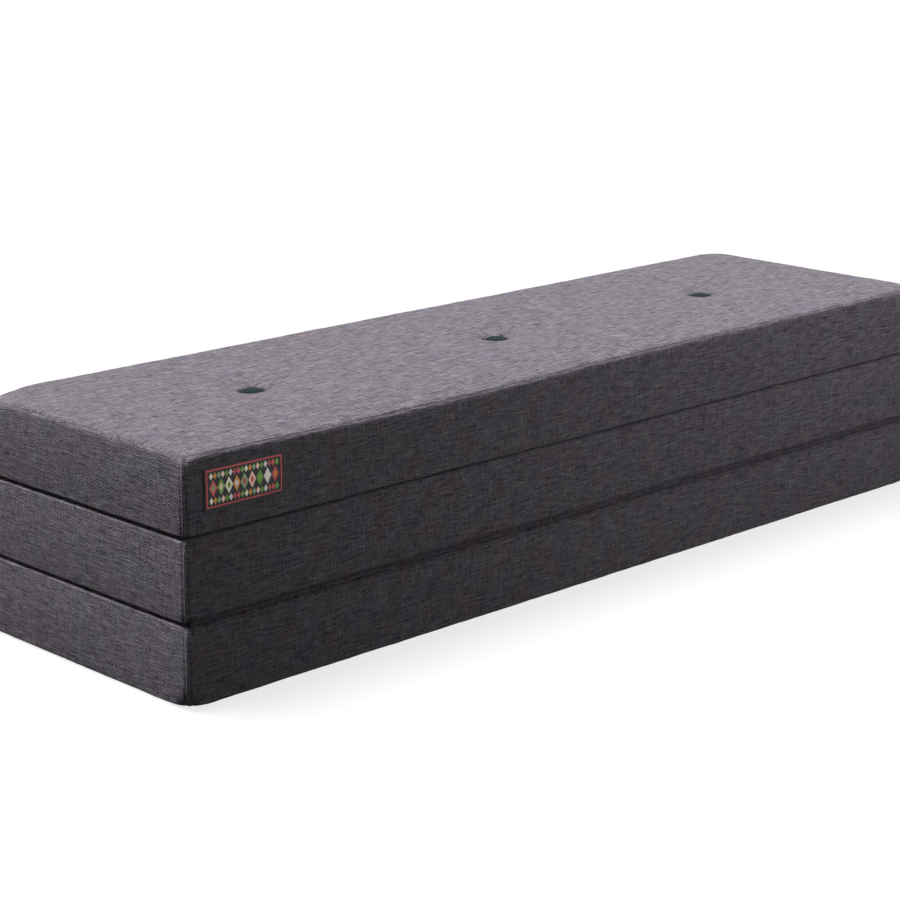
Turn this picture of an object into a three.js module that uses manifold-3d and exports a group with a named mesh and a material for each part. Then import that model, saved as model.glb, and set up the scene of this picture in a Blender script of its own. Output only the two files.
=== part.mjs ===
// A folding mattress: three upholstered foam panels that fold onto each other like an accordion.
// Millimetres. +X runs along the panels, -Y is the long front face with the label, +Z is up.
// The origin lies on the floor under the middle of the folded stack.
import * as THREE from 'three';
import { mergeVertices } from 'three/addons/utils/BufferGeometryUtils.js';
import Module from 'manifold-3d';

const wasm = await Module();
wasm.setup();

// Overall sizes of the folded stack
const length = 1400;
const depth = 400;
const panelThickness = 101;
const restGap = 0.4;
const panelNames = ['bottom', 'middle', 'top'];

// Clearances: between pieces that touch, and how far a cut runs past what it cuts
const fitGap = 0.3;
const overrun = 4;

// The upholstered form that all three panels share. Seen from above, the vertical corners are
// tight at mid height and the face's own corners, where three sides meet, are rounder.
const cornerRadius = 12;
const faceCornerRadius = 20;
const edgeRadius = 10;
const crown = 2;
const crownReach = 50;
const sideBulge = 1.5;
const clothThickness = 2;
const cornerSteps = 4;
const edgeSteps = 2;
const crownSteps = 2;

// How far up the quarter turn of the rounded edge the seam between face and side band lies
const seamTurnShare = 0.5;

// Tufts: a covered button in a dimple on each face, tied through the foam with twine
const tuftCount = 3;
const tuftPitch = 430;
const dimpleRadius = 56;
const dimpleDepth = 15.5;
const dimpleLip = 0.6;
const buttonRadius = 16.5;
const buttonHeight = 8.7;
const buttonClearance = 0.7;
const needleHoleRadius = 4.2;
const shankRadius = 3;
const shankStickOut = 3;
const twineRadius = 1.25;
const roundSides = 12;
const twineSides = 6;

// The dimple's wall from its floor outward, in shares of its slope's width and of its depth
const wallWidthShare = 0.06;
const wallDepthShare = 0.5;
const slopeWidthShare = 0.28;
const slopeDepthShare = 0.34;

// The button's back, rim, shoulder and dome, in shares of its radius and height
const backRadiusShare = 0.88;
const rimHeightShare = 0.3;
const shoulderRadiusShare = 0.82;
const shoulderHeightShare = 0.7;
const domeRadiusShare = 0.46;
const domeHeightShare = 0.94;

// Fold hinges: strips of cover cloth over the creases
const foldClothThickness = 1.2;
const foldValleyDepth = 2.5;
const foldClothSteps = 6;

// Woven label on the front of the top panel, a little above the middle of its side
const labelLength = 117;
const labelHeight = 51;
const labelFromEnd = 30;
const labelRise = 2.5;
const labelThickness = 0.8;

// Zip in the short side of each panel that the front view hides
const zipEndMargin = 30;
const zipOpeningHeight = 13;
const tapeEndLap = 5;
const tapeSideLap = 8;
const tapeThickness = 0.8;
const coilWidth = 1.8;
const coilThickness = 1.6;
const coilSpacing = 1.5;
const sliderLength = 10;
const sliderWidth = 7.5;
const sliderTailWidth = 5;
const sliderPlateThickness = 0.9;
const sliderPostLength = 2.6;
const sliderShoulderShare = 0.45;
const sliderChamferShare = 0.12;
const bridgeLength = 6.4;
const bridgeWidth = 2.4;
const bridgeLegLength = 1;
const bridgeRoofThickness = 0.6;
const pullLength = 18;
const pullWidth = 6;
const pullThickness = 0.8;
const pullTipLength = 2;

// Places that follow from the sizes above. Heights are taken from the middle of a panel.
const halfPanel = panelThickness / 2;
const edgeInset = sideBulge + edgeRadius;
const edgeHeight = halfPanel - crown - edgeRadius;
const seamRise = edgeRadius * Math.sin(seamTurnShare * Math.PI / 2);
const bandTurnShare = Math.asin((seamRise - fitGap) / edgeRadius) / (Math.PI / 2);
const coreInset = clothThickness + fitGap;
const panelPitch = panelThickness + restGap;
const zipOpeningLength = depth - 2 * zipEndMargin;

const cloth = { color: '#6f6872', roughness: 0.92, metalness: 0 };
const foam = { color: '#e6dfc6', roughness: 0.95, metalness: 0 };
const buttonCloth = { color: '#35504e', roughness: 0.8, metalness: 0 };
const twineFibre = { color: '#cfc8b8', roughness: 0.85, metalness: 0 };
const zipTape = { color: '#2e2b30', roughness: 0.85, metalness: 0 };
const zipMetal = { color: '#8b8d90', roughness: 0.35, metalness: 1 };
const labelWeave = { color: '#2a2626', roughness: 0.8, metalness: 0 };

// Welds the corners that a generator repeats and drops the faces that close up on its axis
function weld(geometry) {
  const bare = geometry.clone();
  bare.deleteAttribute('normal');
  bare.deleteAttribute('uv');
  const merged = mergeVertices(bare);
  const kept = [];
  for (let i = 0; i < merged.index.count; i += 3) {
    const corners = [merged.index.getX(i), merged.index.getX(i + 1), merged.index.getX(i + 2)];
    if (new Set(corners).size === 3) {
      kept.push(...corners);
    }
  }
  merged.setIndex(kept);
  return merged;
}

function toSolid(geometry) {
  const welded = weld(geometry);
  const vertProperties = new Float32Array(welded.attributes.position.array);
  const triVerts = new Uint32Array(welded.index.array);
  return new wasm.Manifold(new wasm.Mesh({ numProp: 3, vertProperties, triVerts }));
}

function toGeometry(solid) {
  const mesh = solid.getMesh();
  const geometry = new THREE.BufferGeometry();
  geometry.setAttribute('position', new THREE.BufferAttribute(mesh.vertProperties, 3));
  geometry.setIndex(new THREE.BufferAttribute(mesh.triVerts, 1));
  return geometry;
}

// A box between two corners
function block(low, high) {
  const size = new THREE.Vector3().subVectors(high, low);
  const middle = new THREE.Vector3().addVectors(low, high).multiplyScalar(1 / 2);
  return new THREE.BoxGeometry(size.x, size.y, size.z).translate(middle.x, middle.y, middle.z);
}

// A profile of [radius, height] points, starting and ending on the axis, turned about Z
function turned(profile, sides = roundSides) {
  const points = profile.map(([radius, height]) => new THREE.Vector2(radius, height));
  return new THREE.LatheGeometry(points, sides).rotateX(Math.PI / 2);
}

function extruded(outline, from, to, basis) {
  const shape = new THREE.Shape(outline.map(([u, v]) => new THREE.Vector2(u, v)));
  const prism = new THREE.ExtrudeGeometry(shape, { depth: to - from, bevelEnabled: false });
  prism.translate(0, 0, from);
  return prism.applyMatrix4(basis);
}

const axisX = new THREE.Vector3(1, 0, 0);
const axisY = new THREE.Vector3(0, 1, 0);
const axisZ = new THREE.Vector3(0, 0, 1);
const alongX = new THREE.Matrix4().makeBasis(axisY, axisZ, axisX);
const alongY = new THREE.Matrix4().makeBasis(axisZ, axisX, axisY);
const alongZ = new THREE.Matrix4();

// An outline of [y, z] points drawn out along X, of [z, x] points along Y, or of [x, y] along Z
function prismAlongX(outline, from, to) {
  return extruded(outline, from, to, alongX);
}

function prismAlongY(outline, from, to) {
  return extruded(outline, from, to, alongY);
}

function prismAlongZ(outline, from, to) {
  return extruded(outline, from, to, alongZ);
}

// A level outline of the panel, drawn in by an inset from its widest line
function outlineAt(inset, height) {
  const insetShare = Math.min(inset / edgeInset, 1);
  const radius = cornerRadius + (faceCornerRadius - cornerRadius) * insetShare;
  const halfX = length / 2 - inset - radius;
  const halfY = depth / 2 - inset - radius;
  const points = [];
  for (let corner = 0; corner < 4; corner += 1) {
    const signX = corner === 0 || corner === 3 ? 1 : -1;
    const signY = corner < 2 ? 1 : -1;
    for (let step = 0; step <= cornerSteps; step += 1) {
      const angle = (corner + step / cornerSteps) * Math.PI / 2;
      const x = signX * halfX + radius * Math.cos(angle);
      const y = signY * halfY + radius * Math.sin(angle);
      points.push(new THREE.Vector3(x, y, height));
    }
  }
  return points;
}

// A closed solid through level outlines with equal numbers of points, flat at both ends
function loft(outlines) {
  const count = outlines[0].length;
  const positions = outlines.flat().flatMap((point) => [point.x, point.y, point.z]);
  const faces = [];
  for (let level = 0; level < outlines.length - 1; level += 1) {
    for (let i = 0; i < count; i += 1) {
      const a = level * count + i;
      const b = level * count + (i + 1) % count;
      faces.push(a, b, b + count, a, b + count, a + count);
    }
  }
  const top = (outlines.length - 1) * count;
  for (let i = 1; i < count - 1; i += 1) {
    faces.push(0, i + 1, i, top, top + i, top + i + 1);
  }
  const geometry = new THREE.BufferGeometry();
  geometry.setAttribute('position', new THREE.Float32BufferAttribute(positions, 3));
  geometry.setIndex(faces);
  return geometry;
}

// The rounded upper edge, between two shares of its quarter turn, at a depth under the skin
function edgeOutlines(underSkin, fromShare, toShare) {
  const radius = edgeRadius - underSkin;
  const outlines = [];
  for (let step = 0; step <= edgeSteps; step += 1) {
    const turn = fromShare + (toShare - fromShare) * step / edgeSteps;
    const angle = turn * Math.PI / 2;
    const inset = edgeInset - radius * Math.cos(angle);
    outlines.push(outlineAt(inset, edgeHeight + radius * Math.sin(angle)));
  }
  return outlines;
}

// The same outlines upside down, in rising order
function mirrored(outlines) {
  return outlines.map((outline) => outline.map((point) => point.clone().setZ(-point.z))).reverse();
}

// All that lies deeper than a given depth under the cover's skin
function inside(underSkin) {
  const upper = edgeOutlines(underSkin, 0, 1);
  return toSolid(loft([...mirrored(upper), ...upper]));
}

// The skin of one face: the rounded edge from the seam on, and then the slight crown
function faceSkin() {
  const outlines = edgeOutlines(0, seamTurnShare, 1);
  for (let step = 1; step <= crownSteps; step += 1) {
    const share = step / crownSteps;
    const height = halfPanel - crown * (1 - share) ** 2;
    outlines.push(outlineAt(edgeInset + share * crownReach, height));
  }
  return loft(outlines);
}

const tuftPlaces = Array.from({ length: tuftCount }, (_, i) => (i - (tuftCount - 1) / 2) * tuftPitch);

// The dimple pulled into a face. Its wall steepens towards the button that it seats.
const dimpleFloorRadius = buttonRadius + buttonClearance;
const dimpleSlopeWidth = dimpleRadius - dimpleFloorRadius;
const dimpleWallRadius = dimpleFloorRadius + dimpleSlopeWidth * wallWidthShare;
const dimpleSlopeRadius = dimpleFloorRadius + dimpleSlopeWidth * slopeWidthShare;
const dimpleWallDepth = dimpleDepth * wallDepthShare;
const dimpleSlopeDepth = dimpleDepth * slopeDepthShare;
const underFaceHeight = halfPanel - crown - clothThickness / 2;

function dimpleHollow() {
  return turned([
    [0, halfPanel - dimpleDepth],
    [dimpleFloorRadius, halfPanel - dimpleDepth],
    [dimpleWallRadius, halfPanel - dimpleWallDepth],
    [dimpleSlopeRadius, halfPanel - dimpleSlopeDepth],
    [dimpleRadius, halfPanel + dimpleLip],
    [dimpleRadius, halfPanel + overrun],
    [0, halfPanel + overrun],
  ]);
}

// The underside of the dimpled cloth, or the foam's hollow for it, grown by a thickness
function dimpleCup(grown) {
  return turned([
    [0, halfPanel - dimpleDepth - grown],
    [dimpleFloorRadius + grown, halfPanel - dimpleDepth - grown],
    [dimpleWallRadius + grown, halfPanel - dimpleWallDepth - grown],
    [dimpleSlopeRadius + grown, halfPanel - dimpleSlopeDepth - grown],
    [dimpleRadius + grown, underFaceHeight],
    [0, underFaceHeight],
  ]);
}

function needleHole() {
  return turned([
    [0, -halfPanel],
    [needleHoleRadius, -halfPanel],
    [needleHoleRadius, halfPanel],
    [0, halfPanel],
  ], twineSides);
}

function atTufts(solid, change) {
  return tuftPlaces.reduce((whole, x) => change(whole, x), solid);
}

// One face of the cover, turned over the edge as far as the seam, with its dimples drawn in
function faceClothGeometry() {
  const shell = toSolid(faceSkin()).subtract(inside(clothThickness));
  const cup = toSolid(dimpleCup(clothThickness));
  const hollow = toSolid(dimpleHollow());
  const hole = toSolid(needleHole());
  const dimpled = atTufts(shell, (whole, x) => whole
    .add(cup.translate([x, 0, 0]))
    .subtract(hollow.translate([x, 0, 0]))
    .subtract(hole.translate([x, 0, 0])));
  return toGeometry(dimpled);
}

// Depths into the short side at +X, from the middle of the zip tape outward and inward
const bandInnerX = length / 2 - sideBulge - clothThickness;
const tapeMiddleX = bandInnerX - fitGap - tapeThickness / 2;
const coilFrontX = tapeMiddleX + coilThickness / 2;
const coilBackX = tapeMiddleX - coilThickness / 2;
const sliderFrontX = coilFrontX + fitGap + sliderPlateThickness;
const sliderBackX = coilBackX - fitGap - sliderPlateThickness;
const tapeReach = zipOpeningHeight / 2 + tapeSideLap;
const tapeHalfLength = zipOpeningLength / 2 + tapeEndLap;

// The strip round the sides from seam to seam, with its slight bulge, open over the zip
function sideBandGeometry() {
  const upper = edgeOutlines(0, 0, bandTurnShare);
  const skin = toSolid(loft([...mirrored(upper), outlineAt(0, 0), ...upper]));
  const opening = block(
    new THREE.Vector3(bandInnerX - overrun, -zipOpeningLength / 2, -zipOpeningHeight / 2),
    new THREE.Vector3(length / 2 + overrun, zipOpeningLength / 2, zipOpeningHeight / 2),
  );
  return toGeometry(skin.subtract(inside(clothThickness)).subtract(toSolid(opening)));
}

// The foam block, moulded by the tufts from both faces and relieved behind the zip
function foamCoreGeometry() {
  const cup = toSolid(dimpleCup(coreInset));
  const underCup = cup.rotate([180, 0, 0]);
  const channel = toSolid(needleHole());
  const tufted = atTufts(inside(coreInset), (whole, x) => whole
    .subtract(cup.translate([x, 0, 0]))
    .subtract(underCup.translate([x, 0, 0]))
    .subtract(channel.translate([x, 0, 0])));
  const relief = block(
    new THREE.Vector3(sliderBackX - fitGap, -tapeHalfLength - fitGap, -tapeReach - fitGap),
    new THREE.Vector3(length / 2, tapeHalfLength + fitGap, tapeReach + fitGap),
  );
  return toGeometry(tufted.subtract(toSolid(relief)));
}

// A covered button: domed top, rolled rim, flat back and the shank that the twine pulls on.
// Height 0 is the floor of the dimple.
const shankLength = clothThickness + shankStickOut;

function buttonGeometry() {
  return weld(turned([
    [0, -shankLength],
    [shankRadius, -shankLength],
    [shankRadius, fitGap],
    [buttonRadius * backRadiusShare, fitGap],
    [buttonRadius, fitGap + buttonHeight * rimHeightShare],
    [buttonRadius * shoulderRadiusShare, fitGap + buttonHeight * shoulderHeightShare],
    [buttonRadius * domeRadiusShare, fitGap + buttonHeight * domeHeightShare],
    [0, fitGap + buttonHeight],
  ]));
}

const dimpleFloorHeight = halfPanel - dimpleDepth;

// The twine runs straight through the foam, drawn tight between the two shanks
function twineGeometry() {
  const reach = dimpleFloorHeight - shankLength - fitGap;
  const path = new THREE.LineCurve3(new THREE.Vector3(0, 0, -reach), new THREE.Vector3(0, 0, reach));
  const section = new THREE.Shape();
  for (let i = 0; i < twineSides; i += 1) {
    const angle = i / twineSides * 2 * Math.PI;
    const point = [twineRadius * Math.cos(angle), twineRadius * Math.sin(angle)];
    if (i === 0) {
      section.moveTo(...point);
    } else {
      section.lineTo(...point);
    }
  }
  return new THREE.ExtrudeGeometry(section, { steps: 1, extrudePath: path });
}

// Half of the zip: a tape behind the edge of the opening, and its coil along the middle line
function zipTapeGeometry() {
  const inner = coilSpacing / 2;
  const tapeFrontX = tapeMiddleX + tapeThickness / 2;
  const tapeBackX = tapeMiddleX - tapeThickness / 2;
  const tape = prismAlongY([
    [inner, tapeBackX],
    [tapeReach, tapeBackX],
    [tapeReach, tapeFrontX],
    [inner, tapeFrontX],
  ], -tapeHalfLength, tapeHalfLength);
  const coilHalfLength = zipOpeningLength / 2 - fitGap;
  const coil = prismAlongY([
    [inner, coilBackX],
    [inner + coilWidth, coilBackX],
    [inner + coilWidth, coilFrontX],
    [inner, coilFrontX],
  ], -coilHalfLength, coilHalfLength);
  return toGeometry(toSolid(tape).add(toSolid(coil)));
}

// The slider, seen from outside: a broad nose that narrows to the tail, drawn as [y, z]
function sliderOutline() {
  const nose = -sliderLength / 2;
  const tail = sliderLength / 2;
  const shoulder = nose + sliderLength * sliderShoulderShare;
  const chamfer = sliderLength * sliderChamferShare;
  return [
    [nose, -sliderWidth / 2 + chamfer],
    [nose + chamfer, -sliderWidth / 2],
    [shoulder, -sliderWidth / 2],
    [tail, -sliderTailWidth / 2],
    [tail, sliderTailWidth / 2],
    [shoulder, sliderWidth / 2],
    [nose + chamfer, sliderWidth / 2],
    [nose, sliderWidth / 2 - chamfer],
  ];
}

const pullBarX = sliderFrontX + fitGap + pullThickness / 2;
const bridgeRoofX = pullBarX + pullThickness / 2 + fitGap + bridgeRoofThickness;

// Two plates over and under the coils, the post that parts them and the bridge for the pull
function sliderGeometry() {
  const front = prismAlongX(sliderOutline(), sliderFrontX - sliderPlateThickness, sliderFrontX);
  const back = prismAlongX(sliderOutline(), sliderBackX, sliderBackX + sliderPlateThickness);
  const halfPost = coilSpacing / 2 - fitGap;
  const noseY = -sliderLength / 2;
  const post = block(
    new THREE.Vector3(sliderBackX + sliderPlateThickness / 2, noseY + sliderPostLength, -halfPost),
    new THREE.Vector3(sliderFrontX - sliderPlateThickness / 2, noseY + 2 * sliderPostLength, halfPost),
  );
  const halfBridge = bridgeLength / 2;
  const bridge = prismAlongZ([
    [sliderFrontX - sliderPlateThickness / 2, -halfBridge],
    [bridgeRoofX - bridgeRoofThickness, -halfBridge],
    [bridgeRoofX, -halfBridge + bridgeRoofThickness],
    [bridgeRoofX, halfBridge - bridgeRoofThickness],
    [bridgeRoofX - bridgeRoofThickness, halfBridge],
    [sliderFrontX - sliderPlateThickness / 2, halfBridge],
  ], -bridgeWidth / 2, bridgeWidth / 2);
  const eye = block(
    new THREE.Vector3(sliderFrontX, -halfBridge + bridgeLegLength, -bridgeWidth),
    new THREE.Vector3(bridgeRoofX - bridgeRoofThickness, halfBridge - bridgeLegLength, bridgeWidth),
  );
  const archedBridge = toSolid(bridge).subtract(toSolid(eye));
  return toGeometry(toSolid(front).add(toSolid(back)).add(toSolid(post)).add(archedBridge));
}

// The pull tab, hung on its bar under the bridge and laid flat along the zip, drawn as [y, z]
function pullGeometry() {
  const halfBar = pullThickness / 2;
  const waist = pullWidth / 2;
  const plate = prismAlongX([
    [-halfBar, -waist],
    [pullLength - pullTipLength, -waist],
    [pullLength, -waist + pullTipLength],
    [pullLength, waist - pullTipLength],
    [pullLength - pullTipLength, waist],
    [-halfBar, waist],
  ], pullBarX - halfBar, pullBarX + halfBar);
  const windowEnd = bridgeLength / 2 + 2 * fitGap;
  const halfWindow = bridgeWidth / 2 + fitGap;
  const opening = block(
    new THREE.Vector3(pullBarX - pullThickness, halfBar, -halfWindow),
    new THREE.Vector3(pullBarX + pullThickness, windowEnd, halfWindow),
  );
  return toGeometry(toSolid(plate).subtract(toSolid(opening)));
}

// A strip of cover cloth over a crease, sewn to the side bands under and over it where their
// edges begin to turn, and dipping into the crease. Height 0 is the crease; it lies at -Y.
function foldClothGeometry() {
  const reach = crown + edgeRadius + restGap / 2;
  const outerY = -(depth / 2 - sideBulge + fitGap + foldClothThickness);
  const outer = [];
  const inner = [];
  for (let step = 0; step <= foldClothSteps; step += 1) {
    const share = 2 * step / foldClothSteps - 1;
    const dip = foldValleyDepth * (1 + Math.cos(share * Math.PI)) / 2;
    outer.push([outerY + dip, share * reach]);
    inner.push([outerY + dip + foldClothThickness, share * reach]);
  }
  const halfLength = length / 2 - cornerRadius - edgeInset;
  return prismAlongX([...outer, ...inner.reverse()], -halfLength, halfLength);
}

// The label lies on the front of the side band and follows its slight bulge
function labelGeometry() {
  const low = labelRise - labelHeight / 2;
  const high = labelRise + labelHeight / 2;
  const backY = -depth / 2 - fitGap;
  const frontY = backY - labelThickness;
  const lowDip = sideBulge * -low / edgeHeight;
  const highDip = sideBulge * high / edgeHeight;
  const nearEnd = -length / 2 + labelFromEnd;
  return prismAlongX([
    [backY + lowDip, low],
    [backY, 0],
    [backY + highDip, high],
    [frontY + highDip, high],
    [frontY, 0],
    [frontY + lowDip, low],
  ], nearEnd, nearEnd + labelLength);
}

function piece(name, geometry, finish) {
  const mesh = new THREE.Mesh(geometry, new THREE.MeshStandardMaterial(finish));
  mesh.name = name;
  return mesh;
}

const forms = {
  foamCore: foamCoreGeometry(),
  faceCloth: faceClothGeometry(),
  sideBand: sideBandGeometry(),
  button: buttonGeometry(),
  twine: twineGeometry(),
  zipTape: zipTapeGeometry(),
  zipSlider: sliderGeometry(),
  zipPull: pullGeometry(),
  foldCloth: foldClothGeometry(),
  label: labelGeometry(),
};

// The buttons and the twine of one tuft
function tuft(panel, number, x) {
  const upper = piece(`${panel}_upper_button_${number}`, forms.button, buttonCloth);
  upper.position.set(x, 0, dimpleFloorHeight);
  const lower = piece(`${panel}_lower_button_${number}`, forms.button, buttonCloth);
  lower.position.set(x, 0, -dimpleFloorHeight);
  lower.rotation.x = Math.PI;
  const twine = piece(`${panel}_tuft_twine_${number}`, forms.twine, twineFibre);
  twine.position.x = x;
  return [upper, lower, twine];
}

// The zip, closed: the slider stands at the end nearest the front with its pull laid back
const sliderRestY = -(zipOpeningLength / 2 - pullLength - 2 * fitGap);

function zip(panel) {
  const upperTape = piece(`${panel}_zip_upper_tape`, forms.zipTape, zipTape);
  const lowerTape = piece(`${panel}_zip_lower_tape`, forms.zipTape, zipTape);
  lowerTape.rotation.y = Math.PI;
  lowerTape.position.x = 2 * tapeMiddleX;
  const slider = piece(`${panel}_zip_slider`, forms.zipSlider, zipMetal);
  const pull = piece(`${panel}_zip_pull`, forms.zipPull, zipMetal);
  slider.position.y = sliderRestY;
  pull.position.y = sliderRestY;
  return [upperTape, lowerTape, slider, pull];
}

// One upholstered panel, about its own middle
function panelGroup(panel) {
  const group = new THREE.Group();
  const upperFace = piece(`${panel}_upper_face_cloth`, forms.faceCloth, cloth);
  const lowerFace = piece(`${panel}_lower_face_cloth`, forms.faceCloth, cloth);
  lowerFace.rotation.x = Math.PI;
  group.add(piece(`${panel}_foam_core`, forms.foamCore, foam));
  group.add(upperFace, lowerFace);
  group.add(piece(`${panel}_side_band`, forms.sideBand, cloth));
  group.add(...zip(panel));
  tuftPlaces.forEach((x, i) => group.add(...tuft(panel, i + 1, x)));
  return group;
}

const mattress = new THREE.Group();
panelNames.forEach((panel, i) => {
  const group = panelGroup(panel);
  group.position.z = i * panelPitch + halfPanel;
  mattress.add(group);
});

// The bottom and middle panels are joined along the front, the middle and top ones at the back
const frontFold = piece('front_fold_hinge_cloth', forms.foldCloth, cloth);
frontFold.position.z = panelPitch - restGap / 2;
const backFold = piece('back_fold_hinge_cloth', forms.foldCloth, cloth);
backFold.rotation.z = Math.PI;
backFold.position.z = 2 * panelPitch - restGap / 2;
const label = piece('woven_label', forms.label, labelWeave);
label.position.z = 2 * panelPitch + halfPanel;
mattress.add(frontFold, backFold, label);

export default mattress;
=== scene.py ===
# A folding mattress: three tufted foam panels in melange cloth, folded onto each other.
import math
from collections import namedtuple

import bpy
import numpy as np
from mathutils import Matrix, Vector


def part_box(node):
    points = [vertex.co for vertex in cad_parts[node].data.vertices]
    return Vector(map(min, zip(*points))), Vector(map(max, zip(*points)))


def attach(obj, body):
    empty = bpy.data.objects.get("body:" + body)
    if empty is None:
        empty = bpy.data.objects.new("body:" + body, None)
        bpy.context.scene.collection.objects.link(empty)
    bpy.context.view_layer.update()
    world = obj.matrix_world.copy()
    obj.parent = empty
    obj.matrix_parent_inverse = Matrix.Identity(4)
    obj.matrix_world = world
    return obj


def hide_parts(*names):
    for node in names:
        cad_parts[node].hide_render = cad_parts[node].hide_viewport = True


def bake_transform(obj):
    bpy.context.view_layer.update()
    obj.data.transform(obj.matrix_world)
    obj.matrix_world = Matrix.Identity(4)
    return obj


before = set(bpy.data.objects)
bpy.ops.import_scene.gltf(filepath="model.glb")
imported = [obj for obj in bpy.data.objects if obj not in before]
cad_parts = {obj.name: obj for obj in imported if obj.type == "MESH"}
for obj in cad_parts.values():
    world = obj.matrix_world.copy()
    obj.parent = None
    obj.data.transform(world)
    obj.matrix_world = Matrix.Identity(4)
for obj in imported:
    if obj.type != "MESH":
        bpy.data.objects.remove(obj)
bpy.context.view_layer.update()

MM = 0.001
PANELS = ("bottom", "middle", "top")

# Places and sizes that come from the frame. A panel's own heights are taken from its middle.
band_low, band_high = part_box("top_side_band")
HALF_LENGTH = (band_high.x - band_low.x) / 2
HALF_DEPTH = (band_high.y - band_low.y) / 2
PANEL_LOW = {p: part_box(f"{p}_lower_face_cloth")[0].z for p in PANELS}
PANEL_HIGH = {p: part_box(f"{p}_upper_face_cloth")[1].z for p in PANELS}
PANEL_MIDDLE = {p: (PANEL_LOW[p] + PANEL_HIGH[p]) / 2 for p in PANELS}
HALF_PANEL = (PANEL_HIGH["top"] - PANEL_LOW["top"]) / 2
TUFTS = [sum(corner.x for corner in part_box(f"top_upper_button_{n}")) / 2 for n in (1, 2, 3)]
button_low, button_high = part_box("top_upper_button_1")
BUTTON_RADIUS = (button_high.x - button_low.x) / 2
BUTTON_TOP = button_high.z - PANEL_MIDDLE["top"]
BUTTON_FOOT = button_low.z - PANEL_MIDDLE["top"]
FOLD_CREASES = {"front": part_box("front_fold_hinge_cloth"), "back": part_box("back_fold_hinge_cloth")}
label_low, label_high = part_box("woven_label")
LABEL_LENGTH, LABEL_HEIGHT = label_high.x - label_low.x, label_high.z - label_low.z

# The cover's edges. Edges that lie on each other or on the floor are pressed sharper than the free
# ones on top, and the corners are rounder where nothing lies against them. Each panel has a lower and
# an upper edge.
Edge = namedtuple("Edge", "radius crown corner puckers")
PRESSED_EDGE = Edge(4 * MM, 0.5 * MM, 14 * MM, 0.5)
FREE_EDGE = Edge(10 * MM, 2 * MM, 34 * MM, 1)
EDGES = {
    "bottom": (PRESSED_EDGE._replace(corner=36 * MM), PRESSED_EDGE),
    "middle": (PRESSED_EDGE, PRESSED_EDGE),
    "top": (PRESSED_EDGE, FREE_EDGE),
}
CROWN_REACH = 50 * MM
SIDE_BULGE = 1.5 * MM
CORNER_RADIUS = 6 * MM
CORNER_EASING = 7
CLOTH = 1.1 * MM

# The seam between a face and the side: both cloths roll in, and their allowances stand inward
SEAM_TURN = math.radians(48)
SEAM_ROLL = 1.7 * MM
SEAM_GAP = 0.3 * MM
SEAM_ALLOWANCE = 3 * MM
HEM_TURNS = (30, 60, 90)
HEM_ROWS = len(HEM_TURNS) + 1

# The tufts: the cloth stands steeply round the button and eases out far beyond it
SHANK_REACH = 5 * MM
DIMPLE_DEPTH = HALF_PANEL - BUTTON_FOOT - SHANK_REACH
DIMPLE_FLOOR = BUTTON_RADIUS + 0.5 * MM
DIMPLE_WALL = 6.8 * MM
WALL_SLOPE = 1.6 * MM
DIMPLE_SLOPE = 24 * MM

# Creases run out of each tuft. Their lengths and depths are drawn from these ranges, in millimetres.
TUFT_CREASES = 11
CREASE_SPREAD = 0.22
CREASE_WIDTH = 1.4 * MM
CREASE_WIDENING = 0.09
CREASE_LENGTHS = (7, 20)
CREASE_DEPTHS = (0.5, 1.3)
FRONT_PUFF = 1.6 * MM

# The foam lifts each face between its seams and its tufts, by no more than this
SWELL = 2.2 * MM
SWELL_FROM_EDGE = 20 * MM
SWELL_RISE = 60 * MM
SWELL_ROUND_TUFT = 45 * MM
LIFT_STEPS = 20
LIFT_SMOOTHINGS = 12

# The top panel's front top edge hangs a little, most of it towards its near end
EDGE_SAG = 5.5 * MM
SAG_PLACE = -0.33
SAG_HALF_WIDTH = 0.30
SAG_DEPTH = 90 * MM

# So does the back corner of its near end
CORNER_SAG = 9 * MM
CORNER_SAG_REACH = 80 * MM

# The stitches gather the cloth along its seams: short puckers over longer ones
PUCKER = 0.34
PUCKER_SPACINGS = (9 * MM, 23 * MM)
PUCKER_REACH = 7 * MM

# The upright seam down each corner: a ridge over the allowance, and a furrow this far to either side.
# Its heights are in millimetres.
CORNER_RIDGE, CORNER_RIDGE_WIDTH = 0.9, 1.5 * MM
CORNER_FURROW, CORNER_FURROW_WIDTH, CORNER_FURROW_AWAY = 1.6, 1.2 * MM, 3.4 * MM

# The zip: its opening in the far end, its tapes, its coils, and how far the foam lies behind it
OPENING_HALF_HEIGHT = 6.5 * MM
ZIP_TAPE_THICKNESS = 0.8 * MM
COIL_WIDTH = 1.5 * MM
COIL_HALF_RUN = 169.5 * MM
COIL_LOOPS = 170
COIL_WIRE = 0.3 * MM
GUARD_THICKNESS = 0.5 * MM
GUARD_DOWN, GUARD_UP = -13 * MM, 14 * MM
FOAM_UNDER_CLOTH = 2.3 * MM
FOAM_BEHIND_ZIP = 7.6 * MM
ZIP_RELIEF_HALF_WIDTH = 184 * MM
ZIP_RELIEF_HALF_HEIGHT = 24 * MM

# The folds' axes lie just outside the cover. FOLDED_EDGES names the long edges beside them, as up or
# down and front or back.
FOLDED_EDGES = {"bottom": ((1, -1),), "middle": ((-1, -1), (1, 1)), "top": ((-1, 1),)}

# Beside a fold the long side is drawn in, by a share that falls off with the height from the face
FOLD_DRAW = 5.4 * MM
FOLD_DRAW_UP = (3.4 * MM, 4.5 * MM, 13 * MM)
FOLD_DRAW_SHARE = (1, 0.25, 0)
FOLD_DRAW_REACH = 30 * MM
FOLD_DRAW_EASING = 20 * MM
FOLD_DRAW_END = 10 * MM

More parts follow.
